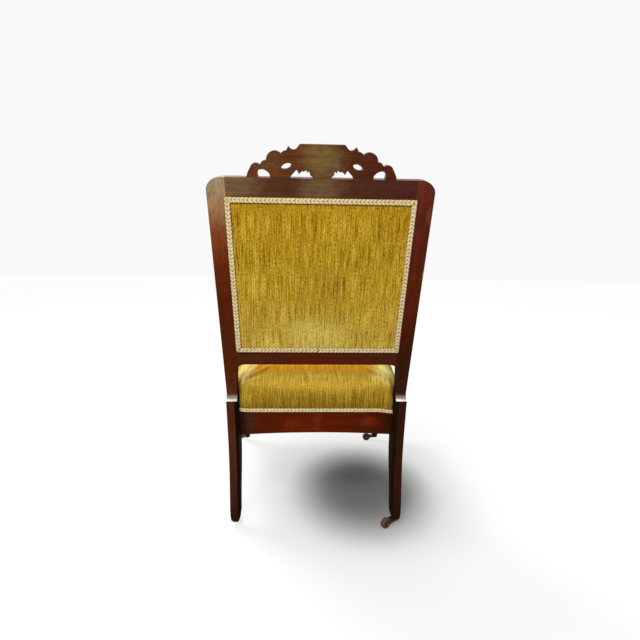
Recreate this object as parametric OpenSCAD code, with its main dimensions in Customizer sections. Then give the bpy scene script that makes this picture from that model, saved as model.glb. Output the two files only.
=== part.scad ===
// Low upholstered parlour chair with a raked back, a pierced crest and four casters.
// The chair faces -Y, the sitter's left is +X, and the wheels stand on Z = 0.

/* [Overall] */
// Depth of the chair from the seat's front to the back of the crest
chair_depth = 621; // [600:1:650]
// Lean of the back from upright, in degrees
back_rake = 13; // [9:0.5:15]

/* [Rear uprights] */
// Half the width of the chair over its rear feet
foot_half_w = 208; // [202:0.1:214]
// Half the width of the chair over the top of its back
top_half_w = 237; // [230:0.5:245]
// Height of the crest rail's top, at its rear edge
crest_rail_z = 820; // [805:1:835]
// Height of the ledge where the leg steps out behind the back
ledge_z = 312; // [304:1:320]
// How far the leg stands out behind the back at the ledge
ledge_reach = 20; // [16:0.5:24]
// Radius of the hollow above the ledge
cove_r = 17; // [12:0.5:20]
// Thickness of the uprights in the back, front to back
stile_t = 30; // [27:0.5:34]
// Width of an upright at its foot
foot_w = 24.5; // [23:0.5:28]
// Width of an upright at the ledge
ledge_w = 25.5; // [24:0.5:29]
// Width of an upright beside the lower back rail
stile_low_w = 36; // [34:0.5:38]
// Width of an upright at its top
stile_top_w = 39; // [36:0.5:42]
// Depth of a rear leg at the seat rails
leg_depth = 58; // [54:1:64]
// Depth of a rear leg at its foot
foot_depth = 28; // [26:1:32]
// How far the foot sweeps back behind the ledge
foot_sweep = 35; // [28:1:42]
// Width of the chamfer on the inner rear edge of a leg
leg_chamfer = 6.5; // [4:0.5:8]
// Radius of the back's top corners
top_corner_r = 30; // [20:1:36]
// Length of the foot that tapers to the caster
toe_h = 26; // [18:1:32]
// Taper of the foot on its outer side
toe_outer = 2.5; // [1:0.1:3]
// Taper of the foot on its inner side
toe_inner = 4.5; // [3:0.1:5]

/* [Back rails] */
// Height of the crest rail along the back
crest_rail_h = 47; // [42:1:52]
// Height of the lower back rail's underside, at its rear edge
lower_rail_z = 404; // [396:1:412]
// Height of the lower back rail along the back
lower_rail_h = 41; // [36:1:46]
// Length of the tenons at the ends of the back's rails
back_tenon_l = 20; // [12:0.5:22]
// Length of the bracket under each end of the lower back rail
bracket_l = 17; // [12:1:22]
// Drop of the bracket under each end of the lower back rail
bracket_drop = 11; // [7:1:14]

/* [Crest] */
// Height of the pierced crest along the back
crest_h = 65.7; // [58:0.1:74]
// Half the width of the pierced crest
fret_half_w = 153.5; // [145:0.5:162]
// Thickness of the pierced crest
fret_t = 16; // [13:0.5:20]
// Diameter of the dowels under the crest
dowel_d = 6; // [5:0.5:7]
// Depth of each dowel in the rail and in the crest
dowel_depth = 11; // [8:0.5:12]

/* [Seat frame] */
// Height of the seat rails' lower edge
seat_rail_z = 216; // [210:1:222]
// Height of the show-wood below the cover
show_h = 58; // [54:1:62]
// Height of the tacking strip behind the cover
tacking_h = 16; // [12:1:20]
// Thickness of the seat rails
seat_rail_t = 26; // [24:1:28]
// How far the rear seat rail stands in front of the back's ledge line
rear_rail_inset = 7; // [4:0.5:9]
// Rise of the shaped edge under the front and rear seat rails
apron_rise = 5.5; // [3:0.5:8]
// Size of the rebate for the webbing
web_rebate = 14; // [12:0.5:16]
// Length of the seat rails' tenons
tenon_l = 12; // [9:0.5:13]
// Thickness of the tenons
tenon_t = 9; // [7:0.5:11]
// Shoulder above and below each tenon
tenon_shoulder = 9; // [7:0.5:12]

/* [Front legs] */
// Distance of the front legs' axes from the middle
front_axis_x = 223; // [217:0.5:228]
// Width of the square block of a front leg
block_w = 50; // [47:0.5:53]
// Height of the turned collar below the block
collar_h = 12; // [9:0.5:15]
// Diameter of the turned vase at its widest
vase_d = 46; // [42:0.5:49]
// Diameter of the leg at its ankle
ankle_d = 23; // [21:0.5:26]

/* [Upholstery] */
// Height of the seat's crown
seat_crown_z = 376; // [368:1:384]
// Thickness of the covers
cover_t = 2; // [1.5:0.1:2.5]
// Height at which the seat's top roll begins to turn over
seat_roll_z = 352; // [346:1:358]
// How far the seat's sides draw in below the top roll
seat_draw_in = 15; // [10:0.5:20]
// How far the inside back swells in front of the frame
back_crown = 38; // [28:1:46]
// Width of the braid round the back
back_gimp_w = 12; // [9:0.5:14]
// Width of the braid round the seat
seat_gimp_w = 10; // [8:0.5:12]
// Thickness of the braid
gimp_t = 2.5; // [1.8:0.1:3]
// How far the outer back's braid laps on to the uprights
gimp_lap = 3.5; // [3:0.5:6]
// Width of a webbing strap
strap_w = 50; // [44:1:54]
// Thickness of a webbing strap
strap_t = 1.6; // [1.2:0.1:2]

/* [Springs] */
// Number of springs across the seat
springs_across = 3; // [2:1:3]
// Number of springs from front to back
springs_deep = 3; // [2:1:3]
// Diameter of a spring at its ends
spring_end_d = 74; // [60:1:84]
// Diameter of a spring at its waist
spring_waist_d = 42; // [34:1:50]
// Diameter of the spring wire
spring_wire_d = 3.6; // [3:0.1:4.2]
// Curls in each spring
spring_curls = 4; // [4:1:5]

/* [Casters] */
// Diameter of the wheels
wheel_d = 25; // [23:0.5:27]
// Width of the wheels
wheel_w = 11; // [9:0.5:12]
// Distance of a wheel's axle from its swivel axis
caster_trail = 30; // [27:0.5:33]
// How far the wheels rise above the feet's undersides
wheel_rise = 4; // [0:0.5:5]
// Diameter of the plate under the leg
plate_d = 17; // [15:0.5:19]
// Outer diameter of the socket in the leg
socket_d = 9.4; // [9:0.1:10.4]
// Depth of the socket in the leg
socket_l = 22; // [18:0.5:24]
// Diameter of the pintle
pintle_d = 6.5; // [6:0.1:7]
// Diameter of the horn's boss under the plate
boss_d = 14; // [13:0.5:15]
// Height of the horn's boss
boss_h = 5.5; // [4.5:0.1:7]
// Thickness of each cheek of the horn
cheek_t = 2.4; // [2:0.1:3]
// Diameter of the axle pins
axle_d = 4; // [3.5:0.1:4.5]
// Turn of the front left caster, in degrees from +X
turn_front_left = 315; // [0:1:360]
// Turn of the front right caster, in degrees from +X
turn_front_right = 0; // [0:1:360]
// Turn of the rear left caster, in degrees from +X
turn_rear_left = 270; // [0:1:360]
// Turn of the rear right caster, in degrees from +X
turn_rear_right = 31; // [0:1:360]

/* [Hidden] */

// Run of every cut past the face that it opens
overrun = 4;
// Clearance round tenons, dowels, screws and sockets
joint_gap = 0.1;
// Clearance between a cover and the wood inside it, and between it and its stuffing
soft_gap = 0.3;
stuffing_gap = 1;
// Room between the covers and the uprights
stile_room = 1;
// Room under the seat cover's lower edge
cover_edge_gap = 1;
// Steps in a drawn curve
curve_steps = 10;
// Steps in the short curve of a rounded corner
corner_steps = 4;
// Facets of round holes and turned pieces
round_fn = 48;
// Facets of small round pieces
small_fn = 16;

// Heights of the seat frame and the feet
foot_z = wheel_d - wheel_rise;
show_top_z = seat_rail_z + show_h;
seat_rail_top_z = show_top_z + tacking_h;
// Height of the crest's highest point, at its rear edge
crest_peak_z = crest_rail_z + crest_h*cos(back_rake);

// Places front to back
ledge_y = chair_depth/2 - tan(back_rake)*(crest_peak_z - ledge_z);
front_face_y = gimp_t - chair_depth/2;
front_axis_y = front_face_y + block_w/2;
front_block_back_y = front_face_y + block_w;
leg_back_y = ledge_y + ledge_reach;
leg_front_y = leg_back_y - leg_depth;
foot_back_y = leg_back_y + foot_sweep;
rear_rail_y = ledge_y - rear_rail_inset;
rear_axis_y = foot_back_y - foot_depth/2;
front_half_w = front_axis_x + block_w/2;

// Colours
wood_colour = [0.28, 0.09, 0.05];
fabric_colour = [0.70, 0.56, 0.20];
gimp_colour = [0.86, 0.78, 0.62];
brass_colour = [0.45, 0.34, 0.16];
steel_colour = [0.45, 0.45, 0.46];
linen_colour = [0.62, 0.53, 0.40];
lining_colour = [0.1, 0.1, 0.1];
wheel_colour = [0.36, 0.22, 0.12];

// Distance along the back from the ledge to a height on its rear face
function along(z) = (z - ledge_z)/cos(back_rake);
// Height of a point on the back's rear face, from its distance along the back
function height_at(s) = ledge_z + s*cos(back_rake);
// Rear face of the back at a height
function back_y(z) = ledge_y + tan(back_rake)*(z - ledge_z);

// Outer face of an upright at a height, one straight line from foot to top
function outer_x(z) = foot_half_w + (z - foot_z)*(top_half_w - foot_half_w)/(crest_rail_z - foot_z);

// Middle of a rear foot, across
rear_axis_x = foot_half_w - toe_outer - (foot_w - toe_outer - toe_inner)/2;

// Height of the lower back rail's middle, where the upright reaches its full width
lower_mid_z = lower_rail_z + lower_rail_h/2;
// Inner face of an upright beside the back panel and along the leg
function panel_x(z) = outer_x(z) - stile_low_w
    - (z - lower_mid_z)*(stile_top_w - stile_low_w)/(crest_rail_z - lower_mid_z);
function leg_inner_x(z) = outer_x(z) - foot_w - (z - foot_z)*(ledge_w - foot_w)/(ledge_z - foot_z);

function unit(v) = v/norm(v);
function bend(a, b, c, t) = (1 - t)*(1 - t)*a + 2*t*(1 - t)*b + t*t*c;
function curve(a, b, c, steps) = [for (i = [0:steps]) bend(a, b, c, i/steps)];
function long_curve(a, b, c, d, steps) = [
    for (i = [0:steps])
        let (t = i/steps)
        (1 - t)*bend(a, b, c, t) + t*bend(b, c, d, t)
];

// A closed outline with rounded corners: each point is [x, y, reach of its rounding]
function rounded(points) = [
    for (i = [0:len(points) - 1])
        let (
            n = len(points),
            before = points[(i + n - 1) % n],
            here = points[i],
            after = points[(i + 1) % n],
            a = [before.x, before.y],
            p = [here.x, here.y],
            b = [after.x, after.y],
            reach_a = min(here[2], norm(a - p)/2),
            reach_b = min(here[2], norm(b - p)/2)
        )
        each here[2] == 0 ? [p]
            : curve(p + reach_a*unit(a - p), p, p + reach_b*unit(b - p), corner_steps)
];

// Puts its children in the plane of the back: X across, Y out of its rear face, Z up along it
module in_back_frame() {
    translate([0, ledge_y, ledge_z]) rotate([-back_rake, 0, 0]) children();
}

// A plate in the plane of the back, drawn across and up, from one depth to another
module back_plate(front, rear) {
    in_back_frame()
        translate([0, rear, 0])
        rotate([90, 0, 0])
        linear_extrude(rear - front)
        children();
}

// Runs a front view outline through the whole chair
module through_y() {
    translate([0, chair_depth, 0]) rotate([90, 0, 0]) linear_extrude(2*chair_depth) children();
}

// Runs a side view outline, drawn as Y and Z, from one X to another
module through_x(from_x, to_x) {
    translate([from_x, 0, 0])
        rotate([90, 0, 90])
        linear_extrude(to_x - from_x)
        children();
}

// Rear uprights

neck_z = ledge_z + cove_r;
outline_top_z = crest_rail_z + 2*stile_t;
sweep_low_share = 0.45;
sweep_high_share = 0.05;

function toe_outer_edge() = long_curve(
    [outer_x(foot_z) - toe_outer, foot_z],
    [outer_x(foot_z), foot_z + toe_h/3],
    [outer_x(foot_z + toe_h/2), foot_z + toe_h/2],
    [outer_x(foot_z + toe_h), foot_z + toe_h],
    corner_steps
);
function toe_inner_edge() = long_curve(
    [leg_inner_x(foot_z + toe_h), foot_z + toe_h],
    [leg_inner_x(foot_z + toe_h/2), foot_z + toe_h/2],
    [leg_inner_x(foot_z), foot_z + toe_h/3],
    [leg_inner_x(foot_z) + toe_inner, foot_z],
    corner_steps
);
function neck_edge() = curve(
    [panel_x(lower_mid_z), lower_mid_z],
    [leg_inner_x((neck_z + lower_mid_z)/2), (neck_z + lower_mid_z)/2],
    [leg_inner_x(neck_z), neck_z],
    curve_steps
);

// Front view of the left upright
module upright_front_view() {
    polygon(concat(
        toe_outer_edge(),
        [[outer_x(outline_top_z), outline_top_z], [panel_x(outline_top_z), outline_top_z]],
        neck_edge(),
        toe_inner_edge()
    ));
}

// Everything outside the inner edge of the left upright, which the rails stop at
module outside_upright_view() {
    polygon(concat(
        [[2*top_half_w, foot_z], [2*top_half_w, outline_top_z]],
        [[panel_x(outline_top_z), outline_top_z]],
        neck_edge(),
        [[leg_inner_x(foot_z), foot_z]]
    ));
}

function leg_back_edge() = long_curve(
    [leg_back_y, seat_rail_z],
    [leg_back_y + sweep_high_share*foot_sweep, seat_rail_z - sweep_low_share*(seat_rail_z - foot_z)],
    [foot_back_y - sweep_low_share*foot_sweep, foot_z + sweep_low_share*(seat_rail_z - foot_z)],
    [foot_back_y, foot_z],
    curve_steps
);
function leg_front_edge() = long_curve(
    [foot_back_y - foot_depth, foot_z],
    [foot_back_y - foot_depth - sweep_low_share*foot_sweep, foot_z + sweep_low_share*(seat_rail_z - foot_z)],
    [leg_front_y + sweep_high_share*foot_sweep, seat_rail_z - sweep_low_share*(seat_rail_z - foot_z)],
    [leg_front_y, seat_rail_z],
    curve_steps
);
// Height at which the raked front of the back meets the upright front of the leg
front_meet_z = ledge_z + (leg_front_y + stile_t/cos(back_rake) - ledge_y)/tan(back_rake);

// Side view of an upright, drawn as Y and Z
module upright_side_view() {
    polygon(concat(
        [
            [leg_front_y, front_meet_z],
            [back_y(crest_rail_z) - stile_t*cos(back_rake), crest_rail_z + stile_t*sin(back_rake)],
            [back_y(crest_rail_z), crest_rail_z]
        ],
        [for (i = [0:curve_steps])
            let (a = 90*i/curve_steps)
            [back_y(neck_z) + (leg_back_y - back_y(neck_z))*(1 - cos(a)), neck_z - cove_r*sin(a)]],
        leg_back_edge(),
        leg_front_edge()
    ));
}

// The leg's inner rear edge is chamfered: a cut that runs at 45 degrees to the leg's faces
module leg_chamfer_view() {
    side = 1/sqrt(2);
    far = 2*chair_depth;
    polygon(concat(
        [[far, foot_z - overrun]],
        [[far, ledge_z]],
        [[(leg_inner_x(ledge_z) - leg_back_y + leg_chamfer)*side, ledge_z]],
        [for (p = leg_back_edge()) [(leg_inner_x(p.y) - p.x + leg_chamfer)*side, p.y]],
        [[(leg_inner_x(foot_z) - foot_back_y + leg_chamfer)*side, foot_z - overrun]]
    ));
}

module upright_blank() {
    difference() {
        intersection() {
            through_x(0, 2*top_half_w) upright_side_view();
            through_y() upright_front_view();
            union() {
                rotate([0, 0, -45])
                    translate([0, 2*chair_depth, 0])
                    rotate([90, 0, 0])
                    linear_extrude(4*chair_depth)
                    leg_chamfer_view();
                translate([0, -chair_depth, ledge_z]) cube([chair_depth, 2*chair_depth, chair_depth]);
            }
        }
        // The back's top corner is rounded
        back_plate(-2*stile_t, stile_t)
            translate([top_half_w - top_corner_r, along(crest_rail_z) - top_corner_r])
            difference() {
                square(top_corner_r + overrun);
                circle(r = top_corner_r, $fn = 4*round_fn);
            }
    }
}

module rear_upright() {
    difference() {
        upright_blank();
        crest_rail_tenons(joint_gap);
        lower_rail_tenons(joint_gap);
        rear_rail_tenons(joint_gap);
        side_rail_tenons(joint_gap);
        translate([rear_axis_x, rear_axis_y, foot_z - overrun])
            cylinder(d = socket_d + 2*joint_gap, h = socket_l + overrun + joint_gap, $fn = round_fn);
    }
}

module rear_upright_left() {
    color(wood_colour) rear_upright();
}

module rear_upright_right() {
    color(wood_colour) mirror([1, 0, 0]) rear_upright();
}

// Rails of the back

// Cuts both ends of a rail to the inner edges of the uprights
module between_uprights() {
    difference() {
        children();
        through_y() outside_upright_view();
        through_y() mirror([1, 0]) outside_upright_view();
    }
}

// A pair of tenons in the plane of the back, between two distances along it
module back_tenons(low, high, gap) {
    for (side = [0, 1])
        mirror([side, 0, 0])
        back_plate(-stile_t/2 - tenon_t/2 - gap, -stile_t/2 + tenon_t/2 + gap)
        translate([panel_x(height_at(low)) - back_tenon_l, low - gap])
        square([2*back_tenon_l + gap, high - low + 2*gap]);
}

crest_rail_low = along(crest_rail_z) - crest_rail_h;
lower_rail_low = along(lower_rail_z);

module crest_rail_tenons(gap) {
    back_tenons(crest_rail_low + tenon_shoulder, along(crest_rail_z) - 2*tenon_shoulder, gap);
}

module lower_rail_tenons(gap) {
    back_tenons(lower_rail_low + tenon_shoulder, lower_rail_low + lower_rail_h - tenon_shoulder, gap);
}

module crest_rail() {
    color(wood_colour)
        difference() {
            union() {
                between_uprights()
                    back_plate(-stile_t, 0)
                    translate([-top_half_w, crest_rail_low])
                    square([2*top_half_w, crest_rail_h]);
                crest_rail_tenons(0);
            }
            dowels(joint_gap);
        }
}

// Bracket that eases the rail's underside into the upright
function bracket_edge(side) =
    let (root_x = panel_x(height_at(lower_rail_low)))
    curve(
        [side*(root_x + bracket_l/4), lower_rail_low - bracket_drop],
        [side*root_x, lower_rail_low],
        [side*(root_x - bracket_l), lower_rail_low],
        corner_steps
    );

module lower_back_rail() {
    top = lower_rail_low + lower_rail_h;
    right_edge = bracket_edge(-1);
    color(wood_colour)
        union() {
            between_uprights()
                back_plate(-stile_t, 0)
                polygon(concat(
                    bracket_edge(1),
                    [for (i = [len(right_edge) - 1:-1:0]) right_edge[i]],
                    [[-top_half_w, lower_rail_low - bracket_drop], [-top_half_w, top]],
                    [[top_half_w, top], [top_half_w, lower_rail_low - bracket_drop]]
                ));
            lower_rail_tenons(0);
        }
}

// Pierced crest

// Half of the crest's outline, as shares of its half width and height, with rounding shares
fret_outline_shares = [
    [0, 0, 0], [1, 0, 0], [0.985, 0.13, 0.02], [0.95, 0.29, 0.02], [0.93, 0.36, 0.02],
    [0.87, 0.32, 0.02], [0.812, 0.40, 0.02], [0.788, 0.50, 0.02], [0.748, 0.515, 0.012],
    [0.70, 0.58, 0], [0.60, 0.66, 0], [0.543, 0.725, 0.008], [0.515, 0.792, 0.02],
    [0.476, 0.806, 0.01], [0.447, 0.935, 0.01], [0.405, 0.838, 0.03], [0.352, 0.835, 0.03],
    [0.296, 1, 0.012], [0, 1, 0]
];
// Scrolls of the crest, each [across, up, radius] in the same shares
fret_scroll_shares = [[0.874, 0.266, 0.072], [0.624, 0.537, 0.111]];
// Piercings of one half, in the same shares as the outline
fret_wing_shares = [
    [0.69, -0.1, 0], [0.83, -0.1, 0], [0.853, 0.12, 0.03], [0.846, 0.23, 0.04],
    [0.775, 0.26, 0.04], [0.70, 0.15, 0.04], [0.685, 0.05, 0.02]
];
fret_eye_shares = [
    [0.55, 0.285, 0.03], [0.512, 0.40, 0.03], [0.45, 0.455, 0.03], [0.4, 0.415, 0.02],
    [0.43, 0.31, 0.03], [0.49, 0.26, 0.03]
];
fret_toothed_shares = [
    [0.43, -0.1, 0], [0.42, 0.04, 0.02], [0.335, 0.26, 0.02], [0.305, 0.12, 0.008],
    [0.262, 0.225, 0.02], [0.247, 0.19, 0.008], [0.205, 0.245, 0.015], [0.197, 0.165, 0.006],
    [0.170, 0.215, 0.012], [0.156, 0.09, 0.01], [0.118, 0.03, 0.01], [0.118, -0.1, 0]
];

fret_low = along(crest_rail_z);

// Turns shares into sizes on the crest
function fret_points(shares) = rounded([
    for (p = shares) [p.x*fret_half_w, p.y*crest_h, p[2]*fret_half_w]
]);

module fret_view() {
    for (side = [0, 1])
        mirror([side, 0])
        difference() {
            union() {
                polygon(fret_points(fret_outline_shares));
                for (s = fret_scroll_shares)
                    translate([s.x*fret_half_w, s.y*crest_h])
                    circle(r = s[2]*fret_half_w, $fn = round_fn);
            }
            polygon(fret_points(fret_wing_shares));
            polygon(fret_points(fret_eye_shares));
            polygon(fret_points(fret_toothed_shares));
        }
}

module crest_fretwork() {
    color(wood_colour)
        difference() {
            back_plate(-fret_t, 0) translate([0, fret_low]) fret_view();
            dowels(joint_gap);
        }
}

dowel_x_shares = [-0.56, 0, 0.56];

module dowels(gap) {
    in_back_frame()
        for (share = dowel_x_shares)
            translate([share*fret_half_w, -fret_t/2, fret_low - dowel_depth - gap])
            cylinder(d = dowel_d + 2*gap, h = 2*dowel_depth + 2*gap, $fn = round_fn);
}

module crest_dowels() {
    color(wood_colour) dowels(0);
}

// Seat frame

// The side rails run from the front blocks to the rear legs, flush with the outer faces
rail_mid_z = seat_rail_z + show_h/2;
side_rear_x = outer_x(rail_mid_z);
side_splay = (front_half_w - side_rear_x)/(leg_front_y - front_block_back_y);
function side_x(y) = front_half_w - side_splay*(y - front_block_back_y);
function side_inner_x(y) = side_x(y) - seat_rail_t;
seat_inner_front_y = front_face_y + seat_rail_t;
seat_inner_rear_y = rear_rail_y - seat_rail_t;

// Shaped lower edge of one half of the front and rear rails: a low arch after a short flat
apron_flat_share = 0.8;
apron_arch_share = 0.6;
function apron_edge(half_w) = long_curve(
    [half_w, seat_rail_z],
    [apron_flat_share*half_w, seat_rail_z],
    [apron_arch_share*half_w, seat_rail_z + apron_rise],
    [0, seat_rail_z + apron_rise],
    curve_steps
);

module apron_view(half_w) {
    for (side = [0, 1])
        mirror([side, 0])
        polygon(concat([[0, seat_rail_top_z], [half_w, seat_rail_top_z]], apron_edge(half_w)));
}

tenon_low_z = seat_rail_z + web_rebate + tenon_shoulder/2;
tenon_high_z = show_top_z - tenon_shoulder;

// Leaves only what is below the seat's cover, or inside it: this makes the tacking strips
module inside_cover() {
    intersection() {
        children();
        union() {
            translate([-chair_depth, -chair_depth, 0]) cube([2*chair_depth, 2*chair_depth, show_top_z]);
            translate([0, 0, seat_rail_z])
                linear_extrude(show_h + tacking_h + overrun)
                seat_view(cover_t + soft_gap);
        }
    }
}

module rear_rail_tenons(gap) {
    reach = leg_inner_x(rail_mid_z) + tenon_l + gap;
    translate([-reach, rear_rail_y - seat_rail_t/2 - tenon_t/2 - gap, tenon_low_z - gap])
        cube([2*reach, tenon_t + 2*gap, tenon_high_z - tenon_low_z + 2*gap]);
}

module rear_seat_rail() {
    half_w = leg_inner_x(rail_mid_z) + ledge_w/2;
    color(wood_colour)
        difference() {
            union() {
                inside_cover()
                    between_uprights()
                    translate([0, rear_rail_y, 0])
                    rotate([90, 0, 0])
                    linear_extrude(seat_rail_t)
                    apron_view(half_w);
                rear_rail_tenons(0);
            }
            webbing_rebate();
            corner_screws(joint_gap);
            webbing_tacks(joint_gap);
        }
}

module front_rail_tenons(gap) {
    reach = front_half_w - block_w + tenon_l + gap;
    translate([-reach, front_face_y + seat_rail_t/2 - tenon_t/2 - gap, tenon_low_z - gap])
        cube([2*reach, tenon_t + 2*gap, tenon_high_z - tenon_low_z + 2*gap]);
}

module front_seat_rail() {
    half_w = front_half_w - block_w;
    color(wood_colour)
        difference() {
            union() {
                inside_cover()
                    translate([0, front_face_y + seat_rail_t, 0])
                    rotate([90, 0, 0])
                    linear_extrude(seat_rail_t)
                    apron_view(half_w);
                front_rail_tenons(0);
            }
            webbing_rebate();
            corner_screws(joint_gap);
            webbing_tacks(joint_gap);
        }
}

// Tenons of the left side rail, into the rear leg and into the front block
module side_rail_tenons(gap) {
    for (end_y = [front_block_back_y, leg_front_y]) {
        middle_x = side_x(end_y) - seat_rail_t/2;
        translate([middle_x - tenon_t/2 - gap, end_y - tenon_l - gap, tenon_low_z - gap])
            cube([tenon_t + 2*gap, 2*tenon_l + 2*gap, tenon_high_z - tenon_low_z + 2*gap]);
    }
}

module side_rail() {
    difference() {
        union() {
            inside_cover()
                translate([0, 0, seat_rail_z])
                linear_extrude(show_h + tacking_h)
                polygon([
                    [side_x(front_block_back_y), front_block_back_y],
                    [side_x(leg_front_y), leg_front_y],
                    [side_inner_x(leg_front_y), leg_front_y],
                    [side_inner_x(front_block_back_y), front_block_back_y]
                ]);
            side_rail_tenons(0);
        }
        webbing_rebate();
        corner_screws(joint_gap);
        webbing_tacks(joint_gap);
    }
}

module side_seat_rail_left() {
    color(wood_colour) side_rail();
}

module side_seat_rail_right() {
    color(wood_colour) mirror([1, 0, 0]) side_rail();
}

// Plan of the four legs at the seat rails, grown by a gap
module legs_view(gap) {
    for (side = [0, 1])
        mirror([side, 0]) {
            translate([front_half_w - block_w - gap, front_face_y - gap])
                square(block_w + 2*gap);
            translate([leg_inner_x(seat_rail_z) - gap, leg_front_y - gap])
                square([leg_depth, leg_depth + 2*gap]);
        }
}

// Outline of the opening inside the seat rails, grown by a margin
module inside_rails_view(grow) {
    front = seat_inner_front_y - grow;
    rear = seat_inner_rear_y + grow;
    polygon([
        [side_inner_x(front) + grow, front],
        [side_inner_x(rear) + grow, rear],
        [-side_inner_x(rear) - grow, rear],
        [-side_inner_x(front) - grow, front]
    ]);
}

// Rebate round the inner lower edges of the rails, for the webbing
module webbing_rebate() {
    translate([0, 0, seat_rail_z - overrun])
        linear_extrude(web_rebate + overrun)
        inside_rails_view(web_rebate);
}

// Front legs

module front_leg_turning() {
    collar_d = block_w - collar_h/4;
    ring_d = (vase_d + ankle_d)/2;
    turned_h = seat_rail_z - foot_z;
    bead_h = collar_h/2;
    vase_top_z = seat_rail_z - collar_h - bead_h;
    ankle_z = foot_z + toe_h;
    translate([front_axis_x, front_axis_y, 0])
        rotate_extrude($fn = round_fn)
        polygon(concat(
            [[0, foot_z], [plate_d/2 + toe_outer/2, foot_z]],
            curve([plate_d/2 + toe_outer/2, foot_z], [ankle_d/2 + toe_outer, foot_z + toe_h/3],
                [ankle_d/2, ankle_z], corner_steps),
            long_curve([ankle_d/2, ankle_z], [ankle_d/2, ankle_z + turned_h/4],
                [vase_d/2, vase_top_z - turned_h/3], [vase_d/2 - bead_h/3, vase_top_z - bead_h], curve_steps),
            curve([vase_d/2 - bead_h/3, vase_top_z - bead_h], [ring_d/2 + bead_h/2, vase_top_z - bead_h/3],
                [ring_d/2, vase_top_z], corner_steps),
            curve([ring_d/2, vase_top_z], [ring_d/2 + bead_h, vase_top_z + bead_h/2],
                [ring_d/2, vase_top_z + bead_h], corner_steps),
            [[ring_d/2 + bead_h/2, vase_top_z + bead_h]],
            curve([ring_d/2 + bead_h/2, vase_top_z + bead_h], [collar_d/2, vase_top_z + bead_h],
                [collar_d/2, seat_rail_z - bead_h/2], corner_steps),
            [[collar_d/2, seat_rail_z + bead_h/2], [0, seat_rail_z + bead_h/2]]
        ));
}

module front_leg() {
    difference() {
        union() {
            front_leg_turning();
            inside_cover()
                translate([front_half_w - block_w, front_face_y, seat_rail_z])
                cube([block_w, block_w, show_h + tacking_h]);
        }
        front_rail_tenons(joint_gap);
        side_rail_tenons(joint_gap);
        translate([front_axis_x, front_axis_y, foot_z - overrun])
            cylinder(d = socket_d + 2*joint_gap, h = socket_l + overrun + joint_gap, $fn = round_fn);
    }
}

module front_leg_left() {
    color(wood_colour) front_leg();
}

module front_leg_right() {
    color(wood_colour) mirror([1, 0, 0]) front_leg();
}

// Corner blocks

block_leg = 58;
block_z = seat_rail_z + web_rebate + 4*strap_t;
block_top_z = show_top_z;
// Distance from the rear legs' inner faces to the rear blocks
block_gap = 0.3;

module front_block_view() {
    leg_x = front_half_w - block_w;
    polygon([
        [leg_x - block_leg, seat_inner_front_y],
        [leg_x, seat_inner_front_y],
        [leg_x, front_block_back_y],
        [side_inner_x(front_block_back_y), front_block_back_y],
        [side_inner_x(front_block_back_y + block_leg/2), front_block_back_y + block_leg/2]
    ]);
}

module rear_block_view() {
    side_corner_x = side_inner_x(leg_front_y) - block_gap;
    leg_x = min(leg_inner_x(block_z), side_corner_x) - block_gap;
    polygon([
        [leg_x - block_leg, seat_inner_rear_y],
        [leg_x, seat_inner_rear_y],
        [leg_x, leg_front_y - block_gap],
        [side_corner_x, leg_front_y - block_gap],
        [side_inner_x(leg_front_y - block_leg) - block_gap, leg_front_y - block_leg]
    ]);
}

module corner_block_solid(side) {
    color(wood_colour)
        difference() {
            mirror([side, 0, 0])
                translate([0, 0, block_z])
                linear_extrude(block_top_z - block_z)
                children();
            corner_screws(joint_gap);
        }
}

module corner_block_front_left() {
    corner_block_solid(0) front_block_view();
}

module corner_block_front_right() {
    corner_block_solid(1) front_block_view();
}

module corner_block_rear_left() {
    corner_block_solid(0) rear_block_view();
}

module corner_block_rear_right() {
    corner_block_solid(1) rear_block_view();
}

screw_d = 4;
screw_head_d = 8;
screw_head_h = 3;
screw_l = 38;

// One countersunk screw that points along +Y, its head's face at the origin
module wood_screw(gap) {
    rotate([-90, 0, 0]) {
        translate([0, 0, -gap]) cylinder(d = screw_head_d + 2*gap, h = screw_head_h/3 + gap, $fn = round_fn);
        translate([0, 0, screw_head_h/3])
            cylinder(d1 = screw_head_d + 2*gap, d2 = screw_d + 2*gap, h = screw_head_h, $fn = round_fn);
        cylinder(d = screw_d + 2*gap, h = screw_l + gap, $fn = round_fn);
    }
}

screw_z = (block_z + block_top_z)/2;

// Clearance room for the driver in front of each head
module screw_with_room(gap) {
    wood_screw(gap);
    if (gap > 0)
        translate([0, -block_leg, 0])
            rotate([-90, 0, 0])
            cylinder(d = screw_head_d + 2*gap, h = block_leg, $fn = round_fn);
}

// Two screws hold each block, one into each rail
module corner_screws(gap) {
    front_x = front_half_w - block_w - block_leg/2;
    rear_x = leg_inner_x(block_z) - block_leg/2;
    rear_side_y = leg_front_y - block_leg/2;
    front_side_y = front_block_back_y + block_leg/6;
    for (side = [0, 1])
        mirror([side, 0, 0]) {
            translate([front_x, seat_inner_front_y + block_leg/3, screw_z])
                rotate([0, 0, 180])
                screw_with_room(gap);
            translate([side_inner_x(front_side_y) - block_leg/3, front_side_y, screw_z])
                rotate([0, 0, -90])
                screw_with_room(gap);
            translate([rear_x, seat_inner_rear_y - block_leg/3, screw_z])
                screw_with_room(gap);
            translate([side_inner_x(rear_side_y) - block_leg/3, rear_side_y, screw_z])
                rotate([0, 0, -90])
                screw_with_room(gap);
        }
}

module corner_block_screws() {
    color(steel_colour) corner_screws(0);
}

// Webbing and springs of the seat

web_z = seat_rail_z + web_rebate;
web_lap = web_rebate - 1.5*strap_t;
cross_strap_share = 0.32;
long_strap_share = 0.58;

function cross_strap_y(i) = (seat_inner_front_y + seat_inner_rear_y)/2
    + i*cross_strap_share*(seat_inner_rear_y - seat_inner_front_y);
function long_strap_x(i) = i*long_strap_share*side_inner_x(seat_inner_rear_y);

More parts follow.
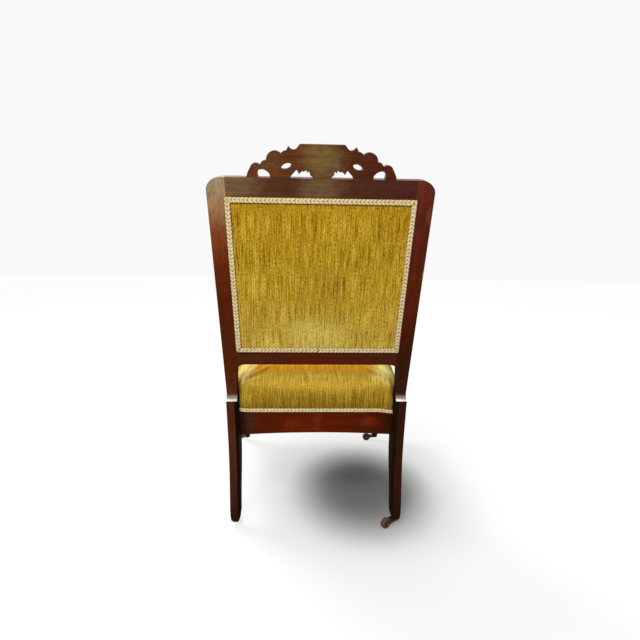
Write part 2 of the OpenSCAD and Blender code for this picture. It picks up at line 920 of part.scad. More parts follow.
module seat_webbing() {
    color(linen_colour)
        difference() {
            translate([0, 0, web_z - 2*strap_t])
                intersection() {
                    linear_extrude(2*strap_t) inside_rails_view(web_lap);
                    union() {
                        for (i = [-1:1]) {
                            translate([-front_half_w, cross_strap_y(i) - strap_w/2, strap_t])
                                cube([2*front_half_w, strap_w, strap_t]);
                            translate([long_strap_x(i) - strap_w/2, front_face_y, 0])
                                cube([strap_w, chair_depth, strap_t]);
                            // Ends of the long straps rise to the rails
                            for (end_y = [seat_inner_front_y - web_rebate, seat_inner_rear_y])
                                translate([long_strap_x(i) - strap_w/2, end_y, 0])
                                cube([strap_w, web_rebate, 2*strap_t]);
                        }
                    }
                }
            webbing_tacks(joint_gap);
        }
}

tack_head_d = 6;
tack_head_h = 0.8;
tack_shank_d = 1.6;
tack_shank_l = 9;
// Reach of a shank into its own head
tack_root = 0.2;
tack_spread_share = 0.3;

// One tack that points up, its head under the strap
module tack(gap, under) {
    translate([0, 0, -under - tack_head_h])
        cylinder(d = tack_head_d, h = tack_head_h, $fn = small_fn);
    translate([0, 0, -under - tack_root])
        cylinder(d = tack_shank_d + 2*gap, h = under + tack_root + tack_shank_l + gap, $fn = small_fn);
}

// Two tacks hold each end of a strap
module webbing_tacks(gap) {
    half = web_rebate/2;
    for (i = [-1:1], j = [-1, 1]) {
        shift = j*tack_spread_share*strap_w;
        for (side = [-1, 1])
            translate([side*(side_inner_x(cross_strap_y(i)) + half), cross_strap_y(i) + shift, web_z])
            tack(gap, strap_t);
        translate([long_strap_x(i) + shift, seat_inner_front_y - half, web_z]) tack(gap, 2*strap_t);
        translate([long_strap_x(i) + shift, seat_inner_rear_y + half, web_z]) tack(gap, 2*strap_t);
    }
}

module seat_webbing_tacks() {
    color(steel_colour) webbing_tacks(0);
}

hessian_t = 1;
// Depth of the stuffing between the hessian and the height of the roll
stuffing_h = 30;
// Width of the stuffing between the hessian and the cover's outer face
side_stuffing_w = 12;
hessian_z = seat_roll_z - stuffing_h;

// Hessian over the springs, a shallow tray turned upside down on the rails
module seat_hessian() {
    color(linen_colour)
        difference() {
            translate([0, 0, seat_rail_top_z])
                linear_extrude(hessian_z + hessian_t - seat_rail_top_z)
                seat_view(side_stuffing_w);
            translate([0, 0, seat_rail_top_z - overrun])
                linear_extrude(hessian_z - seat_rail_top_z + overrun)
                seat_view(side_stuffing_w + hessian_t);
        }
}

spring_sides = 6;
curl_rings = 8;

spring_h = hessian_z - web_z - spring_wire_d;

// Radius of the spring's coil at a share of its height, widest at both ends
function spring_r(share) =
    spring_waist_d/2 + (spring_end_d - spring_waist_d)/2*pow(2*share - 1, 2);

// Middle of the wire at one ring
function spring_point(i, count) =
    let (share = i/count, angle = 360*i/curl_rings)
    [spring_r(share)*cos(angle), spring_r(share)*sin(angle), spring_wire_d/2 + spring_h*share];

// One spring as an unbroken tube round a helix
module coil_spring() {
    count = spring_curls*curl_rings;
    points = [
        for (i = [0:count], k = [0:spring_sides - 1])
            let (
                angle = 360*i/curl_rings,
                turn = 360*k/spring_sides,
                out = [cos(angle), sin(angle), 0],
                reach = spring_wire_d/2
            )
            spring_point(i, count) + reach*cos(turn)*out + [0, 0, reach*sin(turn)]
    ];
    sides = [
        for (i = [0:count - 1], k = [0:spring_sides - 1])
            let (
                a = i*spring_sides + k,
                b = i*spring_sides + (k + 1) % spring_sides
            )
            each [[a, b, b + spring_sides], [a, b + spring_sides, a + spring_sides]]
    ];
    last = count*spring_sides;
    caps = [
        for (k = [1:spring_sides - 2])
            each [[0, k + 1, k], [last, last + k, last + k + 1]]
    ];
    polyhedron(points, concat(sides, caps));
}

// Distances from spring to spring, as shares of their width
spring_pitch_x_share = 1.45;
spring_pitch_y_share = 1.75;
// Least gap between one curl of a spring and the next
echo(spring_curl_gap = min([
    for (i = [0:spring_curls*curl_rings - curl_rings])
        norm(spring_point(i + curl_rings, spring_curls*curl_rings)
            - spring_point(i, spring_curls*curl_rings)) - spring_wire_d
]));

module seat_springs() {
    middle_y = (seat_inner_front_y + seat_inner_rear_y)/2;
    color(steel_colour)
        for (i = [0:springs_across - 1], j = [0:springs_deep - 1])
            translate([
                (i - (springs_across - 1)/2)*spring_pitch_x_share*spring_end_d,
                middle_y + (j - (springs_deep - 1)/2)*spring_pitch_y_share*spring_end_d,
                web_z
            ])
            coil_spring();
}

// Seat cover

seat_corner_r = 16;
// The same beside the rear legs
seat_rear_r = 6;
// Steps in the rings' rounded corners, in the notch at a rear leg and at the front
ring_steps = 3;
notch_steps = 2;
front_steps = 5;
// Points between the corners of a ring's side, as shares of its length
ring_side_shares = [0.25, 0.5, 0.75];

// Plan of the seat's cover at a height, as a list of equal length: it draws in by an inset as
// the seat rises, and by a drop all round for what lies under the cover
function seat_ring(inset, drop, z) =
    let (
        rear_y = rear_rail_y - inset - drop,
        notch_y = leg_front_y - stile_room - inset - drop,
        notch_x = leg_inner_x(show_top_z) - stile_room - inset/2 - drop,
        wide_x = side_x(notch_y) - inset - drop,
        front_y = front_face_y + inset + drop,
        front_x = side_x(front_block_back_y) - inset - drop,
        r = seat_corner_r,
        q = (wide_x - notch_x)/3,
        half = concat(
            [[notch_x/2, rear_y]],
            curve([notch_x - seat_rear_r, rear_y], [notch_x, rear_y], [notch_x, rear_y - seat_rear_r],
                ring_steps),
            curve([notch_x, notch_y + 2*stile_room], [notch_x, notch_y],
                [notch_x + 2*stile_room, notch_y], notch_steps),
            curve([wide_x - q, notch_y], [wide_x, notch_y], [wide_x, notch_y - r], ring_steps),
            [for (t = ring_side_shares)
                [wide_x + t*(front_x - wide_x), notch_y + t*(front_block_back_y - notch_y)]],
            curve([front_x, front_y + 2*r], [front_x, front_y], [front_x - 2*r, front_y], front_steps),
            [[front_x/2, front_y]]
        ),
        n = len(half)
    )
    [for (p = concat(half, [for (i = [n - 1:-1:0]) [-half[i].x, half[i].y]])) [p.x, p.y, z]];

// Side profile of the seat's edge above its braid: shares of the draw-in, and of the height
// to the roll
seat_side_shares = [[0, 0], [-0.08, 0.16], [-0.02, 0.34], [0.22, 0.6], [0.6, 0.84], [1, 1]];
// Top roll: shares of its own inset and rise
seat_roll_shares = [[0.3, 0.45], [0.75, 0.8], [1.5, 1]];
// Crown: shares of the distance to the middle, and of the rise
seat_crown_shares = [[0.28, 0.55], [0.55, 0.9], [0.78, 1]];
// Width of the top roll, and the rise of the crown above it
roll_w = 20;
crown_rise = 6;

function seat_levels(drop) =
    let (
        base = show_top_z + cover_edge_gap + seat_gimp_w,
        top = seat_crown_z - crown_rise - drop,
        roll = seat_roll_z - drop
    )
    concat(
        [[0, base - seat_gimp_w]],
        [for (p = seat_side_shares) [p.x*seat_draw_in, base + p.y*(roll - base)]],
        [for (p = seat_roll_shares) [seat_draw_in + p.x*roll_w, roll + p.y*(top - roll)]]
    );

function seat_points(levels, drop) =
    let (
        rings = [for (l = levels) seat_ring(l.x, drop, l.y)],
        last = rings[len(rings) - 1],
        middle = [0, (front_face_y + rear_rail_y)/2, 0],
        top = seat_crown_z - drop
    )
    concat(
        [for (ring = rings) each ring],
        [for (s = seat_crown_shares)
            each [for (p = last)
                let (q = p + s[0]*([middle.x, middle.y, p.z] - p))
                [q.x, q.y, p.z + (top - last[0].z)*s[1]]]]
    );

// Middle of a list of points
function middle(points) = [for (p = points) 1]*points/len(points);

// Faces between neighbouring rings of equal length
function side_faces(rings, n) = [
    for (k = [0:rings - 2], i = [0:n - 1])
        let (a = k*n + i, b = k*n + (i + 1) % n)
        each [[a, b, b + n], [a, b + n, a + n]]
];

// A fan of faces from a ring that starts at a point to its middle point
function fan_faces(start, n, tip) = [for (i = [0:n - 1]) [start + i, start + (i + 1) % n, tip]];

// The same faces turned to look the other way
function turned(faces) = [for (f = faces) [f[0], f[2], f[1]]];

// A solid over rings of equal length, stacked from the bottom to the top
module stack(points, n) {
    count = len(points);
    first = [for (i = [0:n - 1]) points[i]];
    last = [for (i = [count - n:count - 1]) points[i]];
    polyhedron(
        concat(points, [middle(first), middle(last)]),
        concat(
            side_faces(count/n, n),
            turned(fan_faces(0, n, count)),
            fan_faces(count - n, n, count + 1)
        ),
        10
    );
}

// A shell open at the bottom: the rings of its outer face, and as many of its inner face
module shell(outer, inner, n) {
    count = len(outer);
    outer_top = [for (i = [count - n:count - 1]) outer[i]];
    inner_top = [for (i = [count - n:count - 1]) inner[i]];
    sides = side_faces(count/n, n);
    polyhedron(
        concat(outer, inner, [middle(outer_top), middle(inner_top)]),
        concat(
            sides,
            turned([for (f = sides) [f[0] + count, f[1] + count, f[2] + count]]),
            [for (i = [0:n - 1])
                let (j = (i + 1) % n)
                each [[i, count + i, count + j], [i, count + j, j]]],
            fan_faces(count - n, n, 2*count),
            turned(fan_faces(2*count - n, n, 2*count + 1))
        ),
        10
    );
}

// Plan of the cover's edge, drawn in by a drop
module seat_view(drop) {
    polygon([for (p = seat_ring(0, drop, 0)) [p.x, p.y]]);
}

module seat_cover() {
    n = len(seat_ring(0, 0, 0));
    color(fabric_colour)
        shell(seat_points(seat_levels(0), 0), seat_points(seat_levels(cover_t), cover_t), n);
}

// The stuffing fits inside the cover and over the hessian
module seat_stuffing() {
    n = len(seat_ring(0, 0, 0));
    drop = cover_t + stuffing_gap;
    base = seat_rail_top_z + soft_gap;
    hollow = side_stuffing_w - soft_gap;
    levels = concat([[0, base]], [for (l = seat_levels(drop)) if (l.y > base + stuffing_gap) l]);
    points = concat(
        seat_ring(0, hollow, hessian_z + hessian_t + soft_gap),
        seat_ring(0, hollow, base),
        seat_points(levels, drop)
    );
    color(linen_colour) stack(points, n);
}

// Braid along the cover's lower edge: a strip behind, and one round the sides and the front
module seat_gimp() {
    strip_x = leg_inner_x(show_top_z) - 2*stile_room;
    color(gimp_colour)
        translate([0, 0, show_top_z + cover_edge_gap])
        linear_extrude(seat_gimp_w)
        intersection() {
            difference() {
                seat_view(-gimp_t);
                seat_view(0);
            }
            union() {
                translate([-strip_x, leg_front_y]) square([2*strip_x, leg_depth]);
                translate([-chair_depth, -2*chair_depth])
                    square([2*chair_depth, 2*chair_depth + leg_front_y - 2*seat_corner_r]);
            }
        }
}

dust_t = 0.8;

module dust_cover() {
    color(lining_colour)
        translate([0, 0, web_z - 2*strap_t - tack_head_h - dust_t])
        linear_extrude(dust_t)
        difference() {
            inside_rails_view(web_rebate);
            legs_view(block_gap);
        }
}

// Covers of the back

// Thickness of the flat cover behind
outer_cover_t = 1.4;
panel_rail_lap = 8;
panel_low = lower_rail_low + lower_rail_h - panel_rail_lap;
panel_high = crest_rail_low + panel_rail_lap;
panel_mid = (panel_low + panel_high)/2;
panel_half_h = (panel_high - panel_low)/2;

// Outline of a cover on the back, drawn in from its edge by an inset
module panel_view(inset) {
    low = panel_low + inset;
    high = panel_high - inset;
    low_x = panel_x(height_at(low)) + gimp_lap - inset;
    high_x = panel_x(height_at(high)) + gimp_lap - inset;
    polygon([[low_x, low], [high_x, high], [-high_x, high], [-low_x, low]]);
}

module outside_back_cover() {
    color(fabric_colour) back_plate(0, outer_cover_t) panel_view(0);
}

module outside_back_gimp() {
    color(gimp_colour)
        back_plate(outer_cover_t, outer_cover_t + gimp_t)
        difference() {
            panel_view(0);
            panel_view(back_gimp_w);
        }
}

// Webbing across and up the front of the back
back_strap_shares = [-0.62, 0, 0.62];
web_inset = 6;

module back_webbing() {
    color(linen_colour)
        for (share = back_strap_shares) {
            back_plate(-stile_t - strap_t, -stile_t)
                intersection() {
                    panel_view(web_inset);
                    translate([share*panel_x(height_at(panel_mid)) - strap_w/2, panel_low])
                        square([strap_w, 2*panel_half_h]);
                }
            back_plate(-stile_t - 2*strap_t, -stile_t - strap_t)
                intersection() {
                    panel_view(web_inset);
                    translate([-top_half_w, panel_mid + share*panel_half_h - strap_w/2])
                        square([2*top_half_w, strap_w]);
                }
        }
}

// The inside back's form: rings of the panel's outline that shrink as they rise, each with
// its share of the outline's size and its share of the crown
back_level_shares = [
    [1, 0], [1, 0.1], [0.985, 0.27], [0.95, 0.46], [0.88, 0.66], [0.76, 0.83], [0.56, 0.95],
    [0.32, 1], [0.1, 1.01]
];
back_corner_r = 16;

// The panel's outline with rounded corners, drawn in by an inset
function back_outline(inset) =
    let (
        low = panel_low + inset,
        high = panel_high - inset,
        low_x = panel_x(height_at(low)) + gimp_lap - inset,
        high_x = panel_x(height_at(high)) + gimp_lap - inset,
        step_x = (high_x - low_x)/4,
        step = (high - low)/4,
        r = back_corner_r - inset
    )
    rounded([
        [high_x, high, r],
        each [for (i = [1:3]) [high_x - i*step_x, high - i*step, 0]],
        [low_x, low, r],
        each [for (i = [1:3]) [low_x*(1 - i/2), low, 0]],
        [-low_x, low, r],
        each [for (i = [1:3]) [-low_x - i*step_x, low + i*step, 0]],
        [-high_x, high, r],
        each [for (i = [1:3]) [-high_x*(1 - i/2), high, 0]]
    ]);

function back_points(inset) = [
    for (l = back_level_shares, p = back_outline(inset))
        [l.x*p.x, panel_mid + l.x*(p.y - panel_mid), soft_gap + l.y*(back_crown - inset)]
];

// Puts its children on the front of the back, drawn across and up it, rising forwards
module on_back_front() {
    in_back_frame() translate([0, -stile_t, 0]) rotate([90, 0, 0]) children();
}

module inside_back_cover() {
    color(fabric_colour)
        on_back_front()
        shell(back_points(0), back_points(cover_t), len(back_outline(0)));
}

module back_stuffing() {
    color(linen_colour)
        difference() {
            on_back_front() stack(back_points(cover_t + stuffing_gap), len(back_outline(0)));
            back_plate(-stile_t - 2*strap_t - soft_gap, 0) square(4*chair_depth, center = true);
        }
}

// Braid round the inside back, beside the pad's edge
module inside_back_gimp() {
    color(gimp_colour)
        back_plate(-stile_t - gimp_t, -stile_t)
        difference() {
            polygon(back_outline(-back_gimp_w));
            polygon(back_outline(-soft_gap));
        }
}

// Casters

axle_z = wheel_d/2;
running_gap = 0.05;
face_gap = 0.3;
side_gap = 0.5;
plate_t = 1.8;
wheel_room = 1.2;
socket_crown = 2;
horn_w = wheel_w + 2*side_gap + 2*cheek_t;
horn_top_z = foot_z - plate_t - face_gap;
boss_low_z = horn_top_z - boss_h;
// Where the horn's underside turns down, as a share of its length
horn_sweep_share = 0.6;

// Puts its children under a leg, with +X along the horn
module at_caster(x, y, turn) {
    translate([x, y, 0]) rotate([0, 0, turn]) children();
}

module caster_socket() {
    color(brass_colour)
        rotate_extrude($fn = round_fn)
        polygon([
            [pintle_d/2 + running_gap, foot_z - plate_t],
            [plate_d/2, foot_z - plate_t],
            [plate_d/2, foot_z],
            [socket_d/2, foot_z],
            [socket_d/2, foot_z + socket_l],
            [0, foot_z + socket_l],
            [0, foot_z + socket_l - socket_crown],
            [pintle_d/2 + running_gap, foot_z + socket_l - socket_crown]
        ]);
}

// Side view of the horn, along X and up Z
module horn_view() {
    nose_r = wheel_d/5;
    translate([caster_trail, axle_z]) circle(r = nose_r, $fn = round_fn);
    polygon(concat(
        [[-boss_d/2, horn_top_z], [-boss_d/2, boss_low_z]],
        curve([0, boss_low_z], [horn_sweep_share*caster_trail, boss_low_z],
            [caster_trail, axle_z - nose_r], corner_steps),
        curve([caster_trail + nose_r/2, axle_z + nose_r/2], [caster_trail - nose_r, horn_top_z - nose_r/3],
            [caster_trail/3, horn_top_z], corner_steps)
    ));
}

module caster_horn() {
    color(brass_colour)
        difference() {
            union() {
                translate([0, 0, boss_low_z])
                    cylinder(d = boss_d, h = horn_top_z - boss_low_z, $fn = round_fn);
                translate([0, 0, horn_top_z - face_gap])
                    cylinder(d = pintle_d, h = socket_l - socket_crown + plate_t, $fn = round_fn);
                intersection() {
                    translate([0, horn_w/2, 0])
                        rotate([90, 0, 0])
                        linear_extrude(horn_w)
                        horn_view();
                    union() {
                        cylinder(d = horn_w, h = foot_z, $fn = round_fn);
                        translate([0, -horn_w/2, 0]) cube([2*caster_trail, horn_w, foot_z]);
                    }
                }
            }
            // Room for the wheel between the cheeks
            translate([caster_trail, wheel_w/2 + side_gap, axle_z])
                rotate([90, 0, 0])
                cylinder(r = wheel_d/2 + wheel_room, h = wheel_w + 2*side_gap, $fn = round_fn);
            axle_bore(0);
        }
}

module axle_bore(gap) {
    translate([caster_trail, horn_w/2 + overrun, axle_z])
        rotate([90, 0, 0])
        cylinder(d = axle_d + 2*gap, h = horn_w + 2*overrun, $fn = round_fn);
}

axle_head = 0.6;

module caster_axle() {
    color(steel_colour)
        translate([caster_trail, horn_w/2 + axle_head, axle_z])
        rotate([90, 0, 0])
        cylinder(d = axle_d, h = horn_w + 2*axle_head, $fn = round_fn);
}

// A turned wheel with a rounded tread, a sunk face and a hub
module caster_wheel() {
    r = wheel_d/2;
    hub_r = axle_d/2 + running_gap;
    half = wheel_w/2;
    soft = wheel_w/5;
    sink = wheel_w/10;
    rim_r = r - soft - sink;
    color(wheel_colour)
        translate([caster_trail, 0, axle_z])
        rotate([90, 0, 0])
        rotate_extrude($fn = 2*round_fn)
        polygon(concat(
            [[hub_r, -half], [2*hub_r, -half], [2*hub_r, sink - half], [rim_r - sink/2, sink - half]],
            [[rim_r, -half]],
            curve([r - soft, -half], [r, -half], [r, soft - half], corner_steps),
            curve([r, half - soft], [r, half], [r - soft, half], corner_steps),
            [[rim_r, half]],
            [[rim_r - sink/2, half - sink], [2*hub_r, half - sink], [2*hub_r, half], [hub_r, half]]
        ));
}

module at_front_left() {
    at_caster(front_axis_x, front_axis_y, turn_front_left) children();
}

module at_front_right() {
    at_caster(-front_axis_x, front_axis_y, turn_front_right) children();
}

module at_rear_left() {
    at_caster(rear_axis_x, rear_axis_y, turn_rear_left) children();
}

module at_rear_right() {
    at_caster(-rear_axis_x, rear_axis_y, turn_rear_right) children();
}

module caster_socket_front_left() {
    at_front_left() caster_socket();
}

module caster_horn_front_left() {
    at_front_left() caster_horn();
}

module caster_axle_front_left() {
    at_front_left() caster_axle();
}

module caster_wheel_front_left() {
    at_front_left() caster_wheel();
}

module caster_socket_front_right() {
    at_front_right() caster_socket();
}

module caster_horn_front_right() {
    at_front_right() caster_horn();
}

module caster_axle_front_right() {
    at_front_right() caster_axle();
}

module caster_wheel_front_right() {
    at_front_right() caster_wheel();
}

module caster_socket_rear_left() {
    at_rear_left() caster_socket();
}

module caster_horn_rear_left() {
    at_rear_left() caster_horn();
}

module caster_axle_rear_left() {
    at_rear_left() caster_axle();
}

module caster_wheel_rear_left() {
    at_rear_left() caster_wheel();
}

module caster_socket_rear_right() {
    at_rear_right() caster_socket();
}

module caster_horn_rear_right() {
    at_rear_right() caster_horn();
}

module caster_axle_rear_right() {
    at_rear_right() caster_axle();
}

module caster_wheel_rear_right() {
    at_rear_right() caster_wheel();
}

rear_upright_left();
rear_upright_right();
crest_rail();
crest_fretwork();
crest_dowels();
lower_back_rail();
rear_seat_rail();
front_seat_rail();
side_seat_rail_left();
side_seat_rail_right();
front_leg_left();
front_leg_right();
corner_block_front_left();
corner_block_front_right();
corner_block_rear_left();
corner_block_rear_right();
corner_block_screws();
back_webbing();
back_stuffing();
inside_back_cover();
inside_back_gimp();
outside_back_cover();
outside_back_gimp();
seat_webbing();
seat_webbing_tacks();
seat_springs();
seat_hessian();
seat_stuffing();
seat_cover();
seat_gimp();
dust_cover();
caster_socket_front_left();
caster_horn_front_left();
caster_axle_front_left();
caster_wheel_front_left();
caster_socket_front_right();
caster_horn_front_right();
caster_axle_front_right();
caster_wheel_front_right();
caster_socket_rear_left();
caster_horn_rear_left();
caster_axle_rear_left();
caster_wheel_rear_left();
caster_socket_rear_right();
caster_horn_rear_right();
caster_axle_rear_right();
caster_wheel_rear_right();
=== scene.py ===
# %% [markdown]
# # A low parlour chair, dressed over its CAD frame
# The chair is mahogany with a padded back, a sprung seat and a caster under each leg. Its wood and
# metal are already solid parts in a fixed frame, so this lesson gives them finishes. The cloth,
# the padding and the braid need softer shapes than CAD gives, so they are modelled here in metres,
# in the same frame: the chair faces -Y, +X is the sitter's left and the wheels stand on Z = 0.

import math

import bmesh
import bpy
from mathutils import Matrix, Vector


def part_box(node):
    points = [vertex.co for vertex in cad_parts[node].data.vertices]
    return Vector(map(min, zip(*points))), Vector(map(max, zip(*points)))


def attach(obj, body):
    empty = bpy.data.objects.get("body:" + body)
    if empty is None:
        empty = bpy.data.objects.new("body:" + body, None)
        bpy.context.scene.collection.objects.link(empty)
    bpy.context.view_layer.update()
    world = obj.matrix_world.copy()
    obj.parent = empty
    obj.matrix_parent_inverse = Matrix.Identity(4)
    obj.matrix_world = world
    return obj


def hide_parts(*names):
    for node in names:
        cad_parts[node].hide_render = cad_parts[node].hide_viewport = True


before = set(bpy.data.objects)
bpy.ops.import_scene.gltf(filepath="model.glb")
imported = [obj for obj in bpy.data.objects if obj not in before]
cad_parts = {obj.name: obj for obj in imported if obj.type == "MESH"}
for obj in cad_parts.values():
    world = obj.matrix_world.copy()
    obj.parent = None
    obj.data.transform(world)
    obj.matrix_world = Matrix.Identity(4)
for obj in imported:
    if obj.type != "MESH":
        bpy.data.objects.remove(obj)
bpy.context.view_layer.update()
scene = bpy.context.scene
MM = 0.001

# %% [markdown]
# The camera comes first, because everything is judged through it. It stands 1.3 m behind the
# chair's middle and 0.7 m above the floor, looks down by ten degrees and leans by less than one,
# as a hand-held picture does. A Track To constraint would aim it, but would keep it upright. The
# lens and the place were worked out once from the chair's straight edges, as real sizes.

# %% Camera
CAMERA_PLACE = Vector((42.0, 1304.5, 702.9)) * MM
CAMERA_YAW = math.radians(-2.39)
CAMERA_PITCH = math.radians(9.80)
CAMERA_ROLL = math.radians(0.81)
LENS = 26.955
SENSOR = 36.0
NEAREST, FURTHEST = 0.01, 50

camera = bpy.data.objects.new("camera", bpy.data.cameras.new("camera"))
scene.collection.objects.link(camera)
forward = Vector((
    math.sin(CAMERA_YAW) * math.cos(CAMERA_PITCH),
    -math.cos(CAMERA_YAW) * math.cos(CAMERA_PITCH),
    -math.sin(CAMERA_PITCH),
))
right = forward.cross(Vector((0, 0, 1))).normalized()
up = right.cross(forward)
rolled_right = right * math.cos(CAMERA_ROLL) + up * math.sin(CAMERA_ROLL)
rolled_up = up * math.cos(CAMERA_ROLL) - right * math.sin(CAMERA_ROLL)
facing_chair = Matrix((rolled_right, rolled_up, -forward)).transposed()
camera.matrix_world = Matrix.Translation(CAMERA_PLACE) @ facing_chair.to_4x4()
camera.data.lens = LENS
camera.data.sensor_width = SENSOR
camera.data.clip_start = NEAREST
camera.data.clip_end = FURTHEST
scene.camera = camera
print("Camera at", [round(c, 3) for c in CAMERA_PLACE])

# %% [markdown]
# Finishes are built from nodes, and small helpers keep the node code short. A picture wrapped
# round each piece would be quicker, but it stretches and blurs close up, and nodes don't. Most
# colours are written as a screen shows them and turned into light by shade(). Patterns read
# Object coordinates, which are metres here: a noise that is multiplied by 200 along an axis
# changes every 5 mm on it.

# %% Helpers for colours and patterns
BLACK = (0.0, 0.0, 0.0)
WHITE = (1.0, 1.0, 1.0)


def shade(red, green, blue):
    """A colour as a screen shows it, from 0 to 255, turned into light."""
    return tuple(
        c / 3294.6 if c < 11 else ((c / 255 + 0.055) / 1.055) ** 2.4 for c in (red, green, blue)
    )


def start_material(name):
    """A material, its node tree and its Principled shader, ready for more nodes."""
    material = bpy.data.materials.new(name)
    material.use_nodes = True
    tree = material.node_tree
    return material, tree, tree.nodes["Principled BSDF"]


def feed(tree, socket, value):
    """Links a socket to another one, or sets it to a plain value."""
    if isinstance(value, bpy.types.NodeSocket):
        tree.links.new(value, socket)
    else:
        socket.default_value = value


def maths(tree, operation, *values):
    """A Math node over numbers or sockets."""
    node = tree.nodes.new("ShaderNodeMath")
    node.operation = operation
    for socket, value in zip(node.inputs, values):
        feed(tree, socket, value)
    return node.outputs[0]


def vector_maths(tree, operation, vector, other, result="Value"):
    """A Vector Math node over a socket and a plain vector."""
    node = tree.nodes.new("ShaderNodeVectorMath")
    node.operation = operation
    tree.links.new(vector, node.inputs[0])
    node.inputs[1].default_value = other
    return node.outputs[result]


def noise(tree, scale, source="Object", detail=3.0, roughness=0.5, distortion=0.0):
    """A noise over coordinates in metres, which are multiplied by a number for each axis."""
    place = tree.nodes.new("ShaderNodeTexCoord")
    mapping = tree.nodes.new("ShaderNodeMapping")
    mapping.inputs["Scale"].default_value = scale
    tree.links.new(place.outputs[source], mapping.inputs["Vector"])
    texture = tree.nodes.new("ShaderNodeTexNoise")
    texture.inputs["Scale"].default_value = 1.0
    texture.inputs["Detail"].default_value = detail
    texture.inputs["Roughness"].default_value = roughness
    texture.inputs["Distortion"].default_value = distortion
    tree.links.new(mapping.outputs["Vector"], texture.inputs["Vector"])
    return texture.outputs["Fac"]


def ramp(tree, value, stops, interpolation="LINEAR"):
    """Turns a value into a colour: stops are pairs of a place and a colour."""
    node = tree.nodes.new("ShaderNodeValToRGB")
    node.color_ramp.interpolation = interpolation
    colours = node.color_ramp.elements
    while len(colours) < len(stops):
        colours.new(0.5)
    for element, (place, colour) in zip(colours, stops):
        element.position = place
        element.color = (*colour, 1)
    tree.links.new(value, node.inputs["Fac"])
    return node.outputs["Color"]


def mix_colours(tree, share, first, second, blend="MIX"):
    """Mixes two colours by a share, which is a number or a socket."""
    node = tree.nodes.new("ShaderNodeMix")
    node.data_type = "RGBA"
    node.blend_type = blend
    factor, a, b = node.inputs[0], node.inputs[6], node.inputs[7]
    feed(tree, factor, share)
    for socket, value in ((a, first), (b, second)):
        feed(tree, socket, (*value, 1) if isinstance(value, tuple) else value)
    return node.outputs[2]


def bump(tree, height, distance, strength=1.0, normal=None):
    """A bump of a real depth in metres, on top of another normal if one is given."""
    node = tree.nodes.new("ShaderNodeBump")
    node.inputs["Strength"].default_value = strength
    node.inputs["Distance"].default_value = distance
    tree.links.new(height, node.inputs["Height"])
    if normal is not None:
        tree.links.new(normal, node.inputs["Normal"])
    return node.outputs["Normal"]


# %% [markdown]
# Tone isn't the same all over. It depends on where a place is on the chair and on which way it
# faces, so these helpers give a value for a place on an axis, for a soft ragged patch round a
# point, and for a normal. The finishes use them for marks, and for painted shade and painted
# highlights too. Marks could be painted by hand on a picture of each piece instead, but then no
# number says where they are.

# %% Helpers for places and directions
X, Y, Z = 0, 1, 2
UP, DOWN = (0, 0, 1), (0, 0, -1)
TO_LEFT, TO_RIGHT = (1, 0, 0), (-1, 0, 0)
RAGGED = 0.9
RAGGED_SCALE = (60.0, 60.0, 60.0)
SPOT_CORE = 0.15


def along_axis(tree, axis, low, high):
    """0 at one place on an axis and 1 at another, in metres."""
    place = tree.nodes.new("ShaderNodeTexCoord")
    split = tree.nodes.new("ShaderNodeSeparateXYZ")
    tree.links.new(place.outputs["Object"], split.inputs[0])
    span = tree.nodes.new("ShaderNodeMapRange")
    span.inputs["From Min"].default_value = low
    span.inputs["From Max"].default_value = high
    tree.links.new(split.outputs[axis], span.inputs["Value"])
    return span.outputs["Result"]


def tones_along(tree, axis, tones):
    """A colour that changes along an axis. Tones are places on it, in metres, with colours."""
    low, high = tones[0][0], tones[-1][0]
    return ramp(tree, along_axis(tree, axis, low, high), [
        ((place - low) / (high - low), tone) for place, tone in tones
    ])


def spot(tree, centre, reach, strength):
    """A soft patch: its strength at a centre, and 0 beyond its reach on each axis, in metres."""
    place = tree.nodes.new("ShaderNodeTexCoord")
    mapping = tree.nodes.new("ShaderNodeMapping")
    mapping.inputs["Scale"].default_value = [1 / r for r in reach]
    mapping.inputs["Location"].default_value = [-c / r for c, r in zip(centre, reach)]
    tree.links.new(place.outputs["Object"], mapping.inputs["Vector"])
    far = tree.nodes.new("ShaderNodeVectorMath")
    far.operation = "LENGTH"
    tree.links.new(mapping.outputs["Vector"], far.inputs[0])
    tears = noise(tree, RAGGED_SCALE, detail=4.0)
    edge = maths(tree, "MULTIPLY_ADD", tears, RAGGED, far.outputs["Value"])
    patch = tree.nodes.new("ShaderNodeMapRange")
    patch.interpolation_type = "SMOOTHSTEP"
    patch.inputs["From Min"].default_value = 1.0 + RAGGED / 2
    patch.inputs["From Max"].default_value = SPOT_CORE + RAGGED / 2
    patch.inputs["To Max"].default_value = strength
    tree.links.new(edge, patch.inputs["Value"])
    return patch.outputs["Result"]


def lay_marks(tree, colour, marks):
    """Lays marks on a colour. Each is a centre, a reach on each axis, a tone and a strength."""
    for centre, reach, tone, strength in marks:
        patch = spot(tree, centre, reach, strength)
        colour = mix_colours(tree, patch, colour, tone)
    return colour


def facing(tree, way, low, high):
    """0 to 1 for a face as its normal turns from low to high towards a way."""
    place = tree.nodes.new("ShaderNodeTexCoord")
    turned = tree.nodes.new("ShaderNodeMapRange")
    turned.inputs["From Min"].default_value = low
    turned.inputs["From Max"].default_value = high
    likeness = vector_maths(tree, "DOT_PRODUCT", place.outputs["Normal"], way)
    tree.links.new(likeness, turned.inputs["Value"])
    return turned.outputs["Result"]
